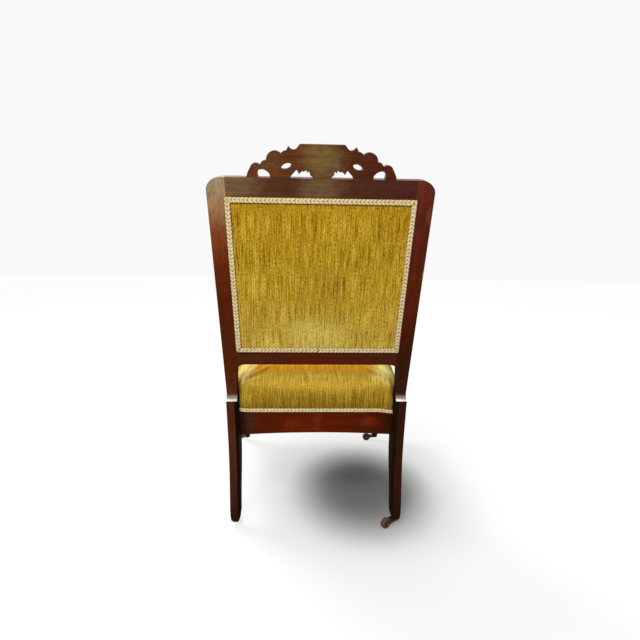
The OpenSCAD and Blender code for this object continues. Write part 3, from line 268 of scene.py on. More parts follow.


# %% [markdown]
# A studio picture has a white ground with a shadow on it. A brighter lamp would turn the floor
# white, but it would wash out the wood too. So the floor is grey paint with a glow that only the
# eye, gloss and glass see, and that nearly meets the white of the backdrop. The glow drowns most
# of the shadow that the lamps cast, so it has a hole under the seat, where bare grey paint is a
# painted shadow like the photograph's. The hole's place and size are given as numbers: the chair
# doesn't cast it, and it stays where it is when a lamp or the chair moves.

# %% Floor
FLOOR_SIZE = 14.0
FLOOR_GREY = 0.20
# The hole in the glow is a painted shadow: its middle and how it is squeezed.
PAINTED_SHADOW_MIDDLE = Vector((-0.135, 0.050, 0))
PAINTED_SHADOW_SQUEEZE = Vector((1.3, 1.0, 1.0))
GLOW_REACH = 6.0
GLOW = [
    (0.13, 0.0), (0.22, 0.36), (0.29, 0.66), (0.44, 0.77), (1.2, 0.85), (2.6, 0.90), (5.5, 0.905),
]


def white_for_the_eye(tree):
    """A value of 1 for rays that show the background: camera, gloss and glass."""
    seen_by = tree.nodes.new("ShaderNodeLightPath").outputs
    eye_or_gloss = maths(tree, "MAXIMUM", seen_by["Is Camera Ray"], seen_by["Is Glossy Ray"])
    return maths(tree, "MAXIMUM", eye_or_gloss, seen_by["Is Transmission Ray"])


def far_glow(tree):
    """The floor's glow by distance in metres from the middle of its hole, a painted shadow."""
    place = tree.nodes.new("ShaderNodeTexCoord")
    squeezed = vector_maths(tree, "MULTIPLY", place.outputs["Object"], PAINTED_SHADOW_SQUEEZE, "Vector")
    far = vector_maths(tree, "DISTANCE", squeezed, PAINTED_SHADOW_MIDDLE * PAINTED_SHADOW_SQUEEZE)
    glow = ramp(tree, maths(tree, "DIVIDE", far, GLOW_REACH), [
        (metres / GLOW_REACH, (strength,) * 3) for metres, strength in GLOW
    ], interpolation="B_SPLINE")
    return maths(tree, "MULTIPLY", glow, white_for_the_eye(tree))


def make_floor():
    """A square of grey paint with the glow and its hole, a painted shadow, which stays in the
    studio.
    """
    bm = bmesh.new()
    bmesh.ops.create_grid(bm, x_segments=1, y_segments=1, size=FLOOR_SIZE / 2)
    mesh = bpy.data.meshes.new("studio_floor")
    bm.to_mesh(mesh)
    bm.free()
    floor = bpy.data.objects.new("studio_floor", mesh)
    scene.collection.objects.link(floor)
    material = bpy.data.materials.new("studio_floor")
    material.use_nodes = True
    tree = material.node_tree
    tree.nodes.clear()
    paint = tree.nodes.new("ShaderNodeBsdfDiffuse")
    paint.inputs["Color"].default_value = (FLOOR_GREY, FLOOR_GREY, FLOOR_GREY, 1)
    glow = tree.nodes.new("ShaderNodeEmission")
    glow.inputs["Color"].default_value = (*WHITE, 1)
    tree.links.new(far_glow(tree), glow.inputs["Strength"])
    both = tree.nodes.new("ShaderNodeAddShader")
    tree.links.new(paint.outputs[0], both.inputs[0])
    tree.links.new(glow.outputs[0], both.inputs[1])
    output = tree.nodes.new("ShaderNodeOutputMaterial")
    tree.links.new(both.outputs[0], output.inputs["Surface"])
    mesh.materials.append(material)


make_floor()
print("Floor is", FLOOR_SIZE, "m wide")

# %% [markdown]
# The world does two jobs: a weak even light fills the shadows, and the eye sees a white backdrop.
# One strength can't do both, so a mix picks the backdrop for the rays that show the background.

# %% World
WORLD_LIGHT = 0.34
BACKDROP_WHITE = 0.95


def make_background(tree, strength):
    """A white background of a given strength."""
    background = tree.nodes.new("ShaderNodeBackground")
    background.inputs["Color"].default_value = (*WHITE, 1)
    background.inputs["Strength"].default_value = strength
    return background.outputs[0]


def make_world():
    """The fill light, with the backdrop in its place for the eye."""
    world = bpy.data.worlds.new("studio")
    scene.world = world
    world.use_nodes = True
    tree = world.node_tree
    tree.nodes.clear()
    mix = tree.nodes.new("ShaderNodeMixShader")
    tree.links.new(white_for_the_eye(tree), mix.inputs["Fac"])
    tree.links.new(make_background(tree, WORLD_LIGHT), mix.inputs[1])
    tree.links.new(make_background(tree, BACKDROP_WHITE), mix.inputs[2])
    output = tree.nodes.new("ShaderNodeOutputWorld")
    tree.links.new(mix.outputs[0], output.inputs["Surface"])


make_world()
print("World fills with", WORLD_LIGHT)

# %% [markdown]
# Two square lamps give the chair its form. One hangs in front of it, on the left of the view, so
# that its faint shadow falls towards the eye and to the right. A wider one behind the eye lights
# the back. Suns would be simpler, but they light near and far alike, and these fade.

# %% Lamps
CHAIR_MIDDLE = (0, 0, 0.40)


def make_lamp(name, place, size, power, colour):
    """A square soft lamp that faces the chair."""
    lamp = bpy.data.lights.new(name, "AREA")
    lamp.shape = "SQUARE"
    lamp.size = size
    lamp.energy = power
    lamp.color = colour
    holder = bpy.data.objects.new(name, lamp)
    holder.location = place
    to_chair = Vector(CHAIR_MIDDLE) - Vector(place)
    holder.rotation_euler = to_chair.to_track_quat("-Z", "Y").to_euler()
    scene.collection.objects.link(holder)
    print(name, "gives", power, "W")


make_lamp("front_lamp", place=(1.25, -1.0, 2.7), size=0.9, power=68, colour=(1.0, 0.985, 0.96))
make_lamp("back_lamp", place=(0.6, 2.3, 2.5), size=1.5, power=75, colour=(1.0, 0.99, 0.97))
scene.view_settings.view_transform = "Standard"

# %% [markdown]
# Old French polish on mahogany is dark red-brown, and its pores show as short dark dashes along
# the grain. The grain runs along each board, so one wrapped picture would run the wrong way on
# half of them; here each board stretches its noises along its own axis. The tone changes over a
# board: it is a ramp along one axis, with marks laid on it. The polish mirrors in its own warm
# colour, so the specular tint is orange. Faces that look down or inwards get painted shade, nearly
# black, and are made rough. Faces that look up, in the band of heights where the ledges on the
# uprights are, get a painted highlight from grey to near white.

# %% Mahogany
FLAME_SCALE, STREAK_SCALE, PORE_SCALE = (30.0, 9.0), (210.0, 7.0), (900.0, 60.0)
SMEAR_SCALE = (17.0, 17.0, 17.0)
WAVE_SCALE = (14.0, 14.0, 14.0)
FLAME_WOOD = (0.85, 0.72, 0.55)
# Painted shade, nearly black, and a matt finish for faces that look down or inwards.
PAINTED_SHADE_WOOD = shade(22, 11, 8)
SHADED_FACE_ROUGHNESS = (0.9, 0.9, 0.9)
POLISH_TINT = (1.0, 0.34, 0.12, 1)
# A painted highlight, grey to near white, for faces that look up, and the band of heights where it
# lies.
LEDGE_GLARE = [(0.25, shade(98, 84, 74)), (0.72, shade(138, 130, 122)), (0.95, shade(238, 240, 238))]
LEDGE_GLARE_SPAN = (0.2, 0.5)
LEDGE_GLARE_BAND = [(0.25, BLACK), (0.30, WHITE), (0.50, WHITE), (0.55, BLACK)]


def grain_noise(tree, grain, scale, **look):
    """A noise along the grain's axis. Its scale is a pair: across the grain and along it."""
    across, along = scale
    stretch = [across] * 3
    stretch[grain] = along
    return noise(tree, stretch, **look)


def add_ledge_glare(tree, colour):
    """Lays a painted highlight, grey to near white, on what looks up where the ledges are."""
    painted_highlight = ramp(tree, facing(tree, UP, 0.0, 1.0), LEDGE_GLARE)
    band = ramp(tree, along_axis(tree, Z, *LEDGE_GLARE_SPAN), LEDGE_GLARE_BAND)
    share = mix_colours(tree, facing(tree, UP, 0.16, 0.5), BLACK, band)
    return mix_colours(tree, share, colour, painted_highlight)


def make_mahogany(name, grain, axis, tones, flame=0.25, marks=(), shaded_ways=(DOWN,), ledge_glare=False):
    """French-polished mahogany. Grain and axis are X, Y or Z. Tones change along the axis, and
    flame is how far the paler clouds show. The ways name the faces that get painted shade, nearly
    black, and the switch lays a painted highlight on faces that look up."""
    material, tree, wood = start_material(name)
    colour = tones_along(tree, axis, tones)
    clouds = grain_noise(tree, grain, FLAME_SCALE, detail=4.0, distortion=0.7)
    flames = ramp(tree, clouds, [(0.46, BLACK), (0.72, (flame,) * 3)])
    colour = mix_colours(tree, flames, colour, FLAME_WOOD, blend="OVERLAY")
    colour = lay_marks(tree, colour, marks)
    streaks = grain_noise(tree, grain, STREAK_SCALE, detail=5.0, roughness=0.6, distortion=0.5)
    colour = mix_colours(tree, 1.0, colour, ramp(tree, streaks, [
        (0.30, (0.34, 0.33, 0.33)), (0.5, (0.5, 0.5, 0.5)), (0.72, (0.64, 0.62, 0.60)),
    ]), blend="OVERLAY")
    pores = grain_noise(tree, grain, PORE_SCALE, detail=2.0)
    colour = mix_colours(tree, 0.7, colour, ramp(tree, pores, [
        (0.34, (0.45, 0.42, 0.42)), (0.45, WHITE),
    ]), blend="MULTIPLY")
    smears = noise(tree, SMEAR_SCALE, detail=5.0)
    roughness = ramp(tree, smears, [(0.3, (0.26,) * 3), (0.7, (0.42,) * 3)])
    # Painted shade: faces that look the given ways turn nearly black and matt.
    for way in shaded_ways:
        shaded_share = facing(tree, way, 0.25, 0.6)
        colour = mix_colours(tree, shaded_share, colour, PAINTED_SHADE_WOOD)
        roughness = mix_colours(tree, shaded_share, roughness, SHADED_FACE_ROUGHNESS)
    # Painted highlight, grey to near white, on the ledges that look up.
    if ledge_glare:
        colour = add_ledge_glare(tree, colour)
    tree.links.new(colour, wood.inputs["Base Color"])
    tree.links.new(roughness, wood.inputs["Roughness"])
    wood.inputs["Specular IOR Level"].default_value = 0.14
    wood.inputs["Specular Tint"].default_value = POLISH_TINT
    waves = noise(tree, WAVE_SCALE, detail=2.0)
    soft = bump(tree, waves, 0.9 * MM, strength=0.6)
    rough = bump(tree, pores, 0.05 * MM, strength=0.6, normal=soft)
    tree.links.new(rough, wood.inputs["Normal"])
    return material


# %% [markdown]
# One mahogany for the whole chair would be simpler, but no two boards look alike: the left
# upright turns orange and then pale grey towards its top, the right one stays dark, and the crest
# is olive in its middle. That pale top, the crest's olive middle and the pale patches on the top
# rail are painted glare of the light from above. So each board that shows has its own tones and
# marks.

# %% One finish for each board that shows
# Painted glare of the light from above, a pale olive grey.
PAINTED_GLARE = shade(142, 122, 84)


def at(x, y, z):
    """A place given in millimetres."""
    return (x * MM, y * MM, z * MM)


# Both marks on the crest are painted glare.
CREST_WOOD = make_mahogany("mahogany_crest", X, X, [
    (-0.19, shade(66, 30, 20)), (-0.06, shade(80, 42, 26)),
    (0.05, shade(96, 58, 32)), (0.19, shade(92, 50, 30)),
], flame=0.7, marks=[
    (at(0, 303, 856), at(62, 60, 50), shade(130, 108, 64), 0.8),
    (at(118, 303, 850), at(50, 60, 30), shade(124, 84, 54), 0.55),
])
# The top rail's two marks are painted glare.
TOP_RAIL_WOOD = make_mahogany("mahogany_top_rail", X, X, [
    (-0.20, shade(80, 40, 34)), (-0.07, shade(78, 44, 34)),
    (0.06, shade(80, 48, 32)), (0.20, shade(100, 66, 44)),
], flame=0.4, marks=[
    (at(4, 292, 802), at(66, 60, 40), PAINTED_GLARE, 0.45),
    (at(185, 292, 806), at(76, 60, 60), PAINTED_GLARE, 0.45),
])
# The pale grey top of the left upright, from about 0.76 m up, is painted glare.
LEFT_WOOD = make_mahogany("mahogany_left_upright", Z, Z, [
    (0.02, shade(26, 11, 8)), (0.07, shade(52, 25, 19)), (0.15, shade(74, 39, 24)),
    (0.30, shade(82, 42, 22)), (0.40, shade(80, 34, 10)), (0.55, shade(84, 31, 10)),
    (0.64, shade(106, 42, 16)), (0.71, shade(134, 70, 36)), (0.76, shade(162, 126, 88)),
    (0.80, shade(156, 138, 108)), (0.835, shade(160, 156, 136)),
], flame=0.6, shaded_ways=(DOWN, TO_RIGHT), ledge_glare=True)
RIGHT_WOOD = make_mahogany("mahogany_right_upright", Z, Z, [
    (0.02, shade(20, 9, 6)), (0.10, shade(38, 18, 10)), (0.30, shade(48, 22, 12)),
    (0.42, shade(54, 20, 9)), (0.50, shade(76, 24, 10)), (0.60, shade(88, 32, 16)),
    (0.72, shade(88, 33, 21)), (0.84, shade(96, 45, 38)),
], flame=0.7, marks=[
    (at(-231, 250, 623), at(7, 30, 16), shade(190, 100, 40), 0.9),
    (at(-228, 270, 752), at(9, 30, 30), shade(150, 78, 44), 0.7),
], shaded_ways=(DOWN, TO_LEFT), ledge_glare=True)
LOW_RAIL_WOOD = make_mahogany("mahogany_low_rail", X, X, [
    (-0.19, shade(80, 34, 18)), (0.0, shade(86, 29, 12)), (0.19, shade(76, 36, 22)),
], flame=0.4)
# The rail's dark ends, beside the legs, are painted shade.
SEAT_RAIL_WOOD = make_mahogany("mahogany_seat_rail", X, X, [
    (-0.19, shade(40, 14, 6)), (-0.14, shade(74, 22, 6)), (0.0, shade(92, 26, 5)),
    (0.14, shade(80, 24, 6)), (0.165, shade(64, 36, 26)), (0.18, shade(32, 18, 12)),
], flame=0.9, marks=[
    (at(62, 171, 246), at(34, 40, 20), shade(128, 48, 14), 0.5),
    (at(-2, 171, 252), at(16, 40, 34), shade(124, 44, 12), 0.5),
    (at(-128, 171, 250), at(30, 40, 22), shade(134, 50, 12), 0.55),
])
SIDE_WOOD = make_mahogany("mahogany_sides", Y, Y, [
    (-0.31, shade(84, 32, 14)), (0.2, shade(62, 24, 11)),
])
FRONT_WOOD = make_mahogany("mahogany_front", X, X, [
    (-0.25, shade(78, 30, 14)), (0.25, shade(92, 38, 17)),
])
LEG_WOOD = make_mahogany("mahogany_front_legs", Z, Z, [
    (0.02, shade(50, 20, 11)), (0.27, shade(84, 34, 16)),
])
print("Mahogany finishes made")

# %% [markdown]
# Strié velvet has a short pile over a ground whose threads differ a little in colour, so it shows
# fine streaks along the warp, about 2 mm wide and a few centimetres long. A wave texture would
# give stripes that are all alike, so stretched noises make them. The streaks follow the cloth
# and not the room, so the shader reads the piece's own map: U in metres across the warp and V in
# metres along it. Weft threads break the streaks into short slubs. The pile leans in soft
# patches. Tones change with height, with marks laid on them: a pale patch low on the outer back,
# and on the seat a bright top roll and two pale corners, which are painted highlights.

# %% Velvet
THREAD_SCALE, SLUB_SCALE = (400.0, 15.0, 1.0), (360.0, 190.0, 1.0)
BAND_SCALE, NAP_SCALE = (60.0, 5.0, 1.0), (7.0, 9.0, 1.0)
PILE_SCALE = (1500.0, 700.0, 1.0)
THREAD_SHADE = (0.30, 0.26, 0.10)
THREAD_LIGHT = shade(255, 226, 112)
THREAD_SPREAD = 0.19
SHEEN_TINT = (1.0, 0.80, 0.35, 1)


def make_velvet(name, tones, marks=(), contrast=1.0):
    """Gold strié velvet, its streaks along the map's V. Tones change with the height Z."""
    material, tree, cloth = start_material(name)
    ground = lay_marks(tree, tones_along(tree, Z, tones), marks)
    threads = noise(tree, THREAD_SCALE, "UV", detail=3.0, roughness=0.72)
    slubs = noise(tree, SLUB_SCALE, "UV", detail=1.0)
    bands = noise(tree, BAND_SCALE, "UV", detail=3.0, roughness=0.6)
    nap = noise(tree, NAP_SCALE, "UV", detail=5.0, distortion=0.4)
    dark = mix_colours(tree, 1.0, ground, THREAD_SHADE, blend="MULTIPLY")
    pale = mix_colours(tree, 0.55, ground, THREAD_LIGHT)
    spread = THREAD_SPREAD / contrast
    colour = mix_colours(tree, ramp(tree, threads, [
        (0.5 - spread, BLACK), (0.5, WHITE),
    ]), dark, ground)
    colour = mix_colours(tree, ramp(tree, threads, [
        (0.5, BLACK), (0.5 + spread, WHITE),
    ]), colour, pale)
    colour = mix_colours(tree, 1.0, colour, ramp(tree, bands, [
        (0.32, (0.44, 0.43, 0.41)), (0.66, (0.57, 0.57, 0.58)),
    ]), blend="OVERLAY")
    colour = mix_colours(tree, contrast, colour, ramp(tree, slubs, [
        (0.30, (0.30, 0.29, 0.25)), (0.70, (0.70, 0.69, 0.66)),
    ]), blend="OVERLAY")
    colour = mix_colours(tree, 0.35, colour, ramp(tree, nap, [
        (0.34, (0.60, 0.54, 0.36)), (0.6, WHITE),
    ]), blend="MULTIPLY")
    tree.links.new(colour, cloth.inputs["Base Color"])
    cloth.inputs["Roughness"].default_value = 0.95
    cloth.inputs["Specular IOR Level"].default_value = 0.1
    cloth.inputs["Sheen Weight"].default_value = 0.12
    cloth.inputs["Sheen Roughness"].default_value = 0.4
    cloth.inputs["Sheen Tint"].default_value = SHEEN_TINT
    pile = noise(tree, PILE_SCALE, "UV", detail=2.0)
    ribs = bump(tree, threads, 0.35 * MM, strength=0.7)
    fuzz = bump(tree, pile, 0.15 * MM, strength=0.5, normal=ribs)
    tree.links.new(fuzz, cloth.inputs["Normal"])
    return material


BACK_VELVET = make_velvet("gold_velvet_back", [
    (0.42, shade(230, 202, 90)), (0.48, shade(220, 188, 74)), (0.56, shade(206, 168, 44)),
    (0.66, shade(198, 158, 28)), (0.78, shade(194, 150, 12)),
], marks=[(at(4, 215, 475), at(110, 60, 80), shade(244, 220, 118), 0.5)])
# The seat's bright orange top roll and its two pale corner marks are painted highlights; lower
# down its tones grow darker.
SEAT_VELVET = make_velvet("gold_velvet_seat", [
    (0.255, shade(126, 96, 12)), (0.295, shade(150, 118, 18)), (0.325, shade(170, 136, 32)),
    (0.345, shade(194, 160, 54)), (0.358, shade(216, 180, 66)), (0.367, shade(224, 172, 40)),
    (0.376, shade(232, 164, 16)), (0.386, shade(216, 164, 30)), (0.396, shade(200, 158, 40)),
], marks=[
    (at(192, 110, 366), at(50, 110, 36), shade(255, 232, 158), 0.9),
    (at(-186, 110, 368), at(56, 120, 44), shade(255, 240, 150), 1.3),
], contrast=0.7)
PAD_VELVET = make_velvet("gold_velvet_pad", [
    (0.40, shade(180, 146, 36)), (0.80, shade(188, 148, 26)),
])
print("Velvet made")

# %% [markdown]
# Small finishes: cream braid, dark old brass, wheels of turned wood, dull steel, jute, plain
# beech and the black lining. Plain colours would do from afar, but up close each would look like
# paint, so each has a speckle of its own size. The braid's grooves get painted shade, and its mesh
# says where they are in an attribute named relief.

# %% Braid, brass, wheel, steel, jute, beech and lining
RELIEF = "relief"
STRAND_SCALE, SOIL_SCALE = (900.0, 1300.0, 1.0), (12.0, 60.0, 1.0)
BROAD_SPECKLE = 9.0


def make_braid_thread():
    """Cream cord, dark in the grooves, which the mesh names in its attribute."""
    material, tree, thread = start_material("cream_braid")
    strands = noise(tree, STRAND_SCALE, "UV", detail=3.0, roughness=0.7)
    soil = noise(tree, SOIL_SCALE, "UV", detail=4.0)
    colour = ramp(tree, strands, [
        (0.3, shade(222, 198, 144)), (0.5, shade(248, 232, 184)), (0.72, shade(255, 250, 220)),
    ])
    colour = mix_colours(tree, 0.35, colour, ramp(tree, soil, [
        (0.34, (0.70, 0.62, 0.50)), (0.6, WHITE),
    ]), blend="MULTIPLY")
    # Painted shade: the grooves between the loops, which the relief attribute names, are darkened.
    groove = tree.nodes.new("ShaderNodeAttribute")
    groove.attribute_name = RELIEF
    colour = mix_colours(tree, 1.0, colour, ramp(tree, groove.outputs["Fac"], [
        (0.0, shade(100, 74, 40)), (0.3, shade(206, 178, 128)), (0.55, WHITE),
    ]), blend="MULTIPLY")
    tree.links.new(colour, thread.inputs["Base Color"])
    thread.inputs["Roughness"].default_value = 0.85
    thread.inputs["Specular IOR Level"].default_value = 0.2
    thread.inputs["Sheen Weight"].default_value = 0.1
    tree.links.new(bump(tree, strands, 0.2 * MM, strength=0.6), thread.inputs["Normal"])
    return material


def make_speckled(
    name, dark, light, size, roughness, metal=0.0, depth=0.1 * MM, stretch=(1.0, 1.0, 1.0),
):
    """A finish whose colour and relief vary at a given size in metres."""
    material, tree, shader = start_material(name)
    fine_scale = [s / size for s in stretch]
    broad_scale = [s / (BROAD_SPECKLE * size) for s in stretch]
    grains = noise(tree, fine_scale, detail=5.0, roughness=0.65)
    broad = noise(tree, broad_scale, detail=3.0)
    colour = ramp(tree, grains, [(0.32, dark), (0.68, light)])
    colour = mix_colours(tree, 0.5, colour, ramp(tree, broad, [
        (0.35, (0.55, 0.52, 0.5)), (0.65, WHITE),
    ]), blend="MULTIPLY")
    tree.links.new(colour, shader.inputs["Base Color"])
    dull, glossy = min(roughness + 0.15, 1.0), max(roughness - 0.1, 0.05)
    tree.links.new(ramp(tree, broad, [
        (0.3, (dull,) * 3), (0.7, (glossy,) * 3),
    ]), shader.inputs["Roughness"])
    shader.inputs["Metallic"].default_value = metal
    tree.links.new(bump(tree, grains, depth, strength=0.6), shader.inputs["Normal"])
    return material


BRAID = make_braid_thread()
BRASS = make_speckled(
    "old_brass", shade(24, 19, 13), shade(74, 57, 36), size=2.5 * MM, roughness=0.5,
    metal=0.5, depth=0.15 * MM,
)
WHEEL = make_speckled(
    "wheel_wood", shade(46, 28, 18), shade(128, 82, 48), size=2.4 * MM, roughness=0.6,
)
STEEL = make_speckled(
    "dull_steel", (0.16, 0.16, 0.165), (0.42, 0.42, 0.43), size=1.2 * MM, roughness=0.35,
    metal=1.0, depth=0.05 * MM,
)
JUTE = make_speckled(
    "jute", (0.26, 0.18, 0.09), (0.50, 0.38, 0.22), size=1.1 * MM, roughness=0.9,
    depth=0.4 * MM, stretch=(1.0, 1.0, 0.4),
)
BEECH = make_speckled(
    "plain_beech", (0.34, 0.20, 0.10), (0.55, 0.38, 0.22), size=1.5 * MM, roughness=0.6,
    stretch=(0.15, 1.0, 1.0),
)
LINING = make_speckled(
    "black_lining", (0.008, 0.008, 0.008), (0.03, 0.03, 0.032), size=0.8 * MM, roughness=0.9,
    depth=0.2 * MM,
)
print("Small finishes made")

# %% [markdown]
# The solid parts keep their CAD shape. A real arris is never sharp, and a small round on it
# catches the light. Rounding the CAD model would change the part for everyone, so the wood and
# the brass get a Weld, which joins their loose triangles, and a Bevel modifier. The wheels, the
# axles and the parts inside keep their edges.

# %% Finishes on the solid parts
TOUCHING = 0.02 * MM
WOOD_ARRIS = 1.1 * MM
BRASS_ARRIS = 0.3 * MM
ARRIS_ANGLE = math.radians(32)


def finish_solid(node, material, arris=0):
    """Gives a CAD node its material, and rounds its arrises if their width is given."""
    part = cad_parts[node]
    part.data.materials.clear()
    part.data.materials.append(material)
    if arris:
        weld = part.modifiers.new("weld", "WELD")
        weld.merge_threshold = TOUCHING
        bevel = part.modifiers.new("arris", "BEVEL")
        bevel.width = arris
        bevel.segments = 2
        bevel.limit_method = "ANGLE"
        bevel.angle_limit = ARRIS_ANGLE


WOOD_PARTS = {
    "rear_upright_left": LEFT_WOOD, "rear_upright_right": RIGHT_WOOD,
    "crest_rail": TOP_RAIL_WOOD, "crest_fretwork": CREST_WOOD, "lower_back_rail": LOW_RAIL_WOOD,
    "rear_seat_rail": SEAT_RAIL_WOOD, "front_seat_rail": FRONT_WOOD,
    "side_seat_rail_left": SIDE_WOOD, "side_seat_rail_right": SIDE_WOOD,
    "front_leg_left": LEG_WOOD, "front_leg_right": LEG_WOOD,
}
INNER_PARTS = {
    "corner_block_screws": STEEL, "seat_webbing_tacks": STEEL, "seat_springs": STEEL,
    "crest_dowels": BEECH, "back_webbing": JUTE, "seat_webbing": JUTE, "seat_hessian": JUTE,
    "dust_cover": LINING,
}
for node, material in WOOD_PARTS.items():
    finish_solid(node, material, WOOD_ARRIS)
for node, material in INNER_PARTS.items():
    finish_solid(node, material)
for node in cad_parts:
    if node.startswith("corner_block") and node not in INNER_PARTS:
        finish_solid(node, BEECH)
    elif node.startswith(("caster_horn", "caster_socket")):
        finish_solid(node, BRASS, BRASS_ARRIS)
    elif node.startswith("caster_wheel"):
        finish_solid(node, WHEEL)
    elif node.startswith("caster_axle"):
        finish_solid(node, STEEL)
print("Finished", len(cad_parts), "solid parts")

# %% [markdown]
# The seat and the inside of the back are stuffing under one tight cover, and only the cover
# shows. It could be modelled by hand, but its outline must match the rails it is tacked to, so
# each starts from the outer skin of its CAD shell: the rim between the two skins goes, then the
# inner skin, and the hole that is left is filled.

# %% The outer skin of a CAD shell
RIM_LIKENESS = 0.9
RIM_NEAR = 0.3 * MM


def islands(bm):
    """Groups of vertices that hang together by their edges."""
    left = set(bm.verts)
    groups = []
    while left:
        group, front = set(), [left.pop()]
        while front:
            vert = front.pop()
            group.add(vert)
            for edge in vert.link_edges:
                other = edge.other_vert(vert)
                if other in left:
                    left.discard(other)
                    front.append(other)
        groups.append(group)
    return groups


def outer_skin(node, edge_normal):
    """A closed copy of a CAD shell's outer skin: its open rim faces along edge_normal."""
    bm = bmesh.new()
    bm.from_mesh(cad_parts[node].data)
    bmesh.ops.remove_doubles(bm, verts=bm.verts, dist=TOUCHING)
    bm.normal_update()
    rim_place = max(v.co.dot(edge_normal) for v in bm.verts)
    rim = [
        f for f in bm.faces if f.normal.dot(edge_normal) > RIM_LIKENESS
        and f.calc_center_median().dot(edge_normal) > rim_place - RIM_NEAR
    ]
    bmesh.ops.delete(bm, geom=rim, context="FACES")
    skins = sorted(islands(bm), key=lambda verts: max(v.co.x for v in verts), reverse=True)
    inner = [v for verts in skins[1:] for v in verts]
    bmesh.ops.delete(bm, geom=inner, context="VERTS")
    bmesh.ops.holes_fill(bm, edges=bm.edges, sides=0)
    bmesh.ops.recalc_face_normals(bm, faces=bm.faces)
    print(node, "skins", len(skins), "faces kept", len(bm.faces))
    return bm


# %% [markdown]
# A skin from CAD has long thin faces that can't bend, so it is remeshed to small even ones. Then
# it is blown up a little as cloth, with its tacked edge held still, so that the middle swells
# and the edge stays tight. Moving the points by a formula would be quicker, but it looks
# inflated; the simulation pulls the cloth tight between what holds it. Last, each piece gets the
# map that the velvet's streaks follow.

# %% Cover, swell and map a soft piece
VOXEL = 5.0 * MM
CLOTH_STIFFNESS = 18
SWELL_PRESSURE = 2.0
SWELL_FRAMES = 20
SWELL_MOST = 7 * MM
SIDEWAYS = 0.75


def add_piece(bm, name, material, body="root"):
    """Makes an object of a bmesh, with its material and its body."""
    mesh = bpy.data.meshes.new(name)
    bm.to_mesh(mesh)
    bm.free()
    for face in mesh.polygons:
        face.use_smooth = True
    mesh.materials.append(material)
    piece = bpy.data.objects.new(name, mesh)
    scene.collection.objects.link(piece)
    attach(piece, body)
    return piece


def bake_modifiers(piece):
    """Replaces a piece's mesh by what its modifiers make of it."""
    graph = bpy.context.evaluated_depsgraph_get()
    made = bpy.data.meshes.new_from_object(piece.evaluated_get(graph))
    piece.modifiers.clear()
    old = piece.data
    piece.data = made
    bpy.data.meshes.remove(old)


def remesh(piece):
    """Covers a closed piece with even faces."""
    modifier = piece.modifiers.new("remesh", "REMESH")
    modifier.mode = "VOXEL"
    modifier.voxel_size = VOXEL
    modifier.use_smooth_shade = True
    bake_modifiers(piece)


def hold_points(piece, held):
    """Gives a piece the group that pins its tacked points, by held(point) from 0 to 1."""
    group = piece.vertex_groups.new(name="tacked")
    for v in piece.data.vertices:
        share = held(v.co)
        if share > 0:
            group.add([v.index], share, "REPLACE")
    return group.name


def swell(piece, held):
    """Blows a piece up as cloth. No point moves further than SWELL_MOST."""
    rest = [v.co.copy() for v in piece.data.vertices]
    tacked = hold_points(piece, held)
    cloth = piece.modifiers.new("cloth", "CLOTH").settings
    cloth.quality = 6
    cloth.mass = 0.3
    cloth.tension_stiffness = CLOTH_STIFFNESS
    cloth.compression_stiffness = CLOTH_STIFFNESS
    cloth.bending_stiffness = 0.6
    cloth.use_pressure = True
    cloth.uniform_pressure_force = SWELL_PRESSURE
    cloth.effector_weights.gravity = 0
    cloth.vertex_group_mass = tacked
    for number in range(1, SWELL_FRAMES + 1):
        scene.frame_set(number)
    bake_modifiers(piece)
    scene.frame_set(1)
    furthest = 0.0
    for v, start in zip(piece.data.vertices, rest):
        move = v.co - start
        if move.length > SWELL_MOST:
            v.co = start + move * (SWELL_MOST / move.length)
        furthest = max(furthest, (v.co - start).length)
    piece.vertex_groups.clear()
    print(piece.name, "swells by up to", round(furthest / MM, 1), "mm")


def map_cloth(piece, rise):
    """Gives a piece its map: U across the warp and V along it, in metres, where rise(point) is
    the way along the warp. Faces that look sideways are mapped from the side."""
    layer = piece.data.uv_layers.new(name="weave")
    for face in piece.data.polygons:
        sideways = abs(face.normal.x) > SIDEWAYS
        for loop in face.loop_indices:
            co = piece.data.vertices[piece.data.loops[loop].vertex_index].co
            layer.data[loop].uv = (co.y, co.z) if sideways else (co.x, rise(co))


def subdivide_smooth(piece):
    """Halves a piece's faces once and rounds it."""
    modifier = piece.modifiers.new("smooth", "SUBSURF")
    modifier.levels = 1
    modifier.render_levels = 1


# %% [markdown]
# The seat is tacked along its rails and tucked in beside the uprights, so the swell is held
# there. Its threads run up the front, over the top and down behind. A map that unwraps the cover
# would bend them at the corners, so one number follows the cover's outline instead.

# %% Seat
SEAT_EDGE, SEAT_EDGE_FADE = 14 * MM, 22 * MM
UPRIGHT_FRONT, UPRIGHT_FRONT_FADE = 140 * MM, 18 * MM
UPRIGHT_INSIDE, UPRIGHT_INSIDE_FADE = 172 * MM, 14 * MM

seat_low, seat_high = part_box("seat_cover")
seat = add_piece(
    outer_skin("seat_cover", Vector((0, 0, -1))), "seat_velvet", SEAT_VELVET,
)
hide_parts("seat_cover", "seat_stuffing")
remesh(seat)


def seat_held(point):
    """1 on the tacked lower edge and beside the uprights, and 0 in the free middle."""
    edge = 1.0 - (point.z - (seat_low.z + SEAT_EDGE)) / SEAT_EDGE_FADE
    behind = (point.y - UPRIGHT_FRONT) / UPRIGHT_FRONT_FADE
    outside = (abs(point.x) - UPRIGHT_INSIDE) / UPRIGHT_INSIDE_FADE
    return max(0.0, min(1.0, max(edge, min(behind, outside))))


def seat_run(point):
    """The way along the warp: up the front, over the top and down behind."""
    middle, half = (seat_low.y + seat_high.y) / 2, (seat_high.y - seat_low.y) / 2
    turn = max(-1.0, min(1.0, 2.0 * (point.y - middle) / half))
    return point.y + turn * (seat_high.z - point.z)


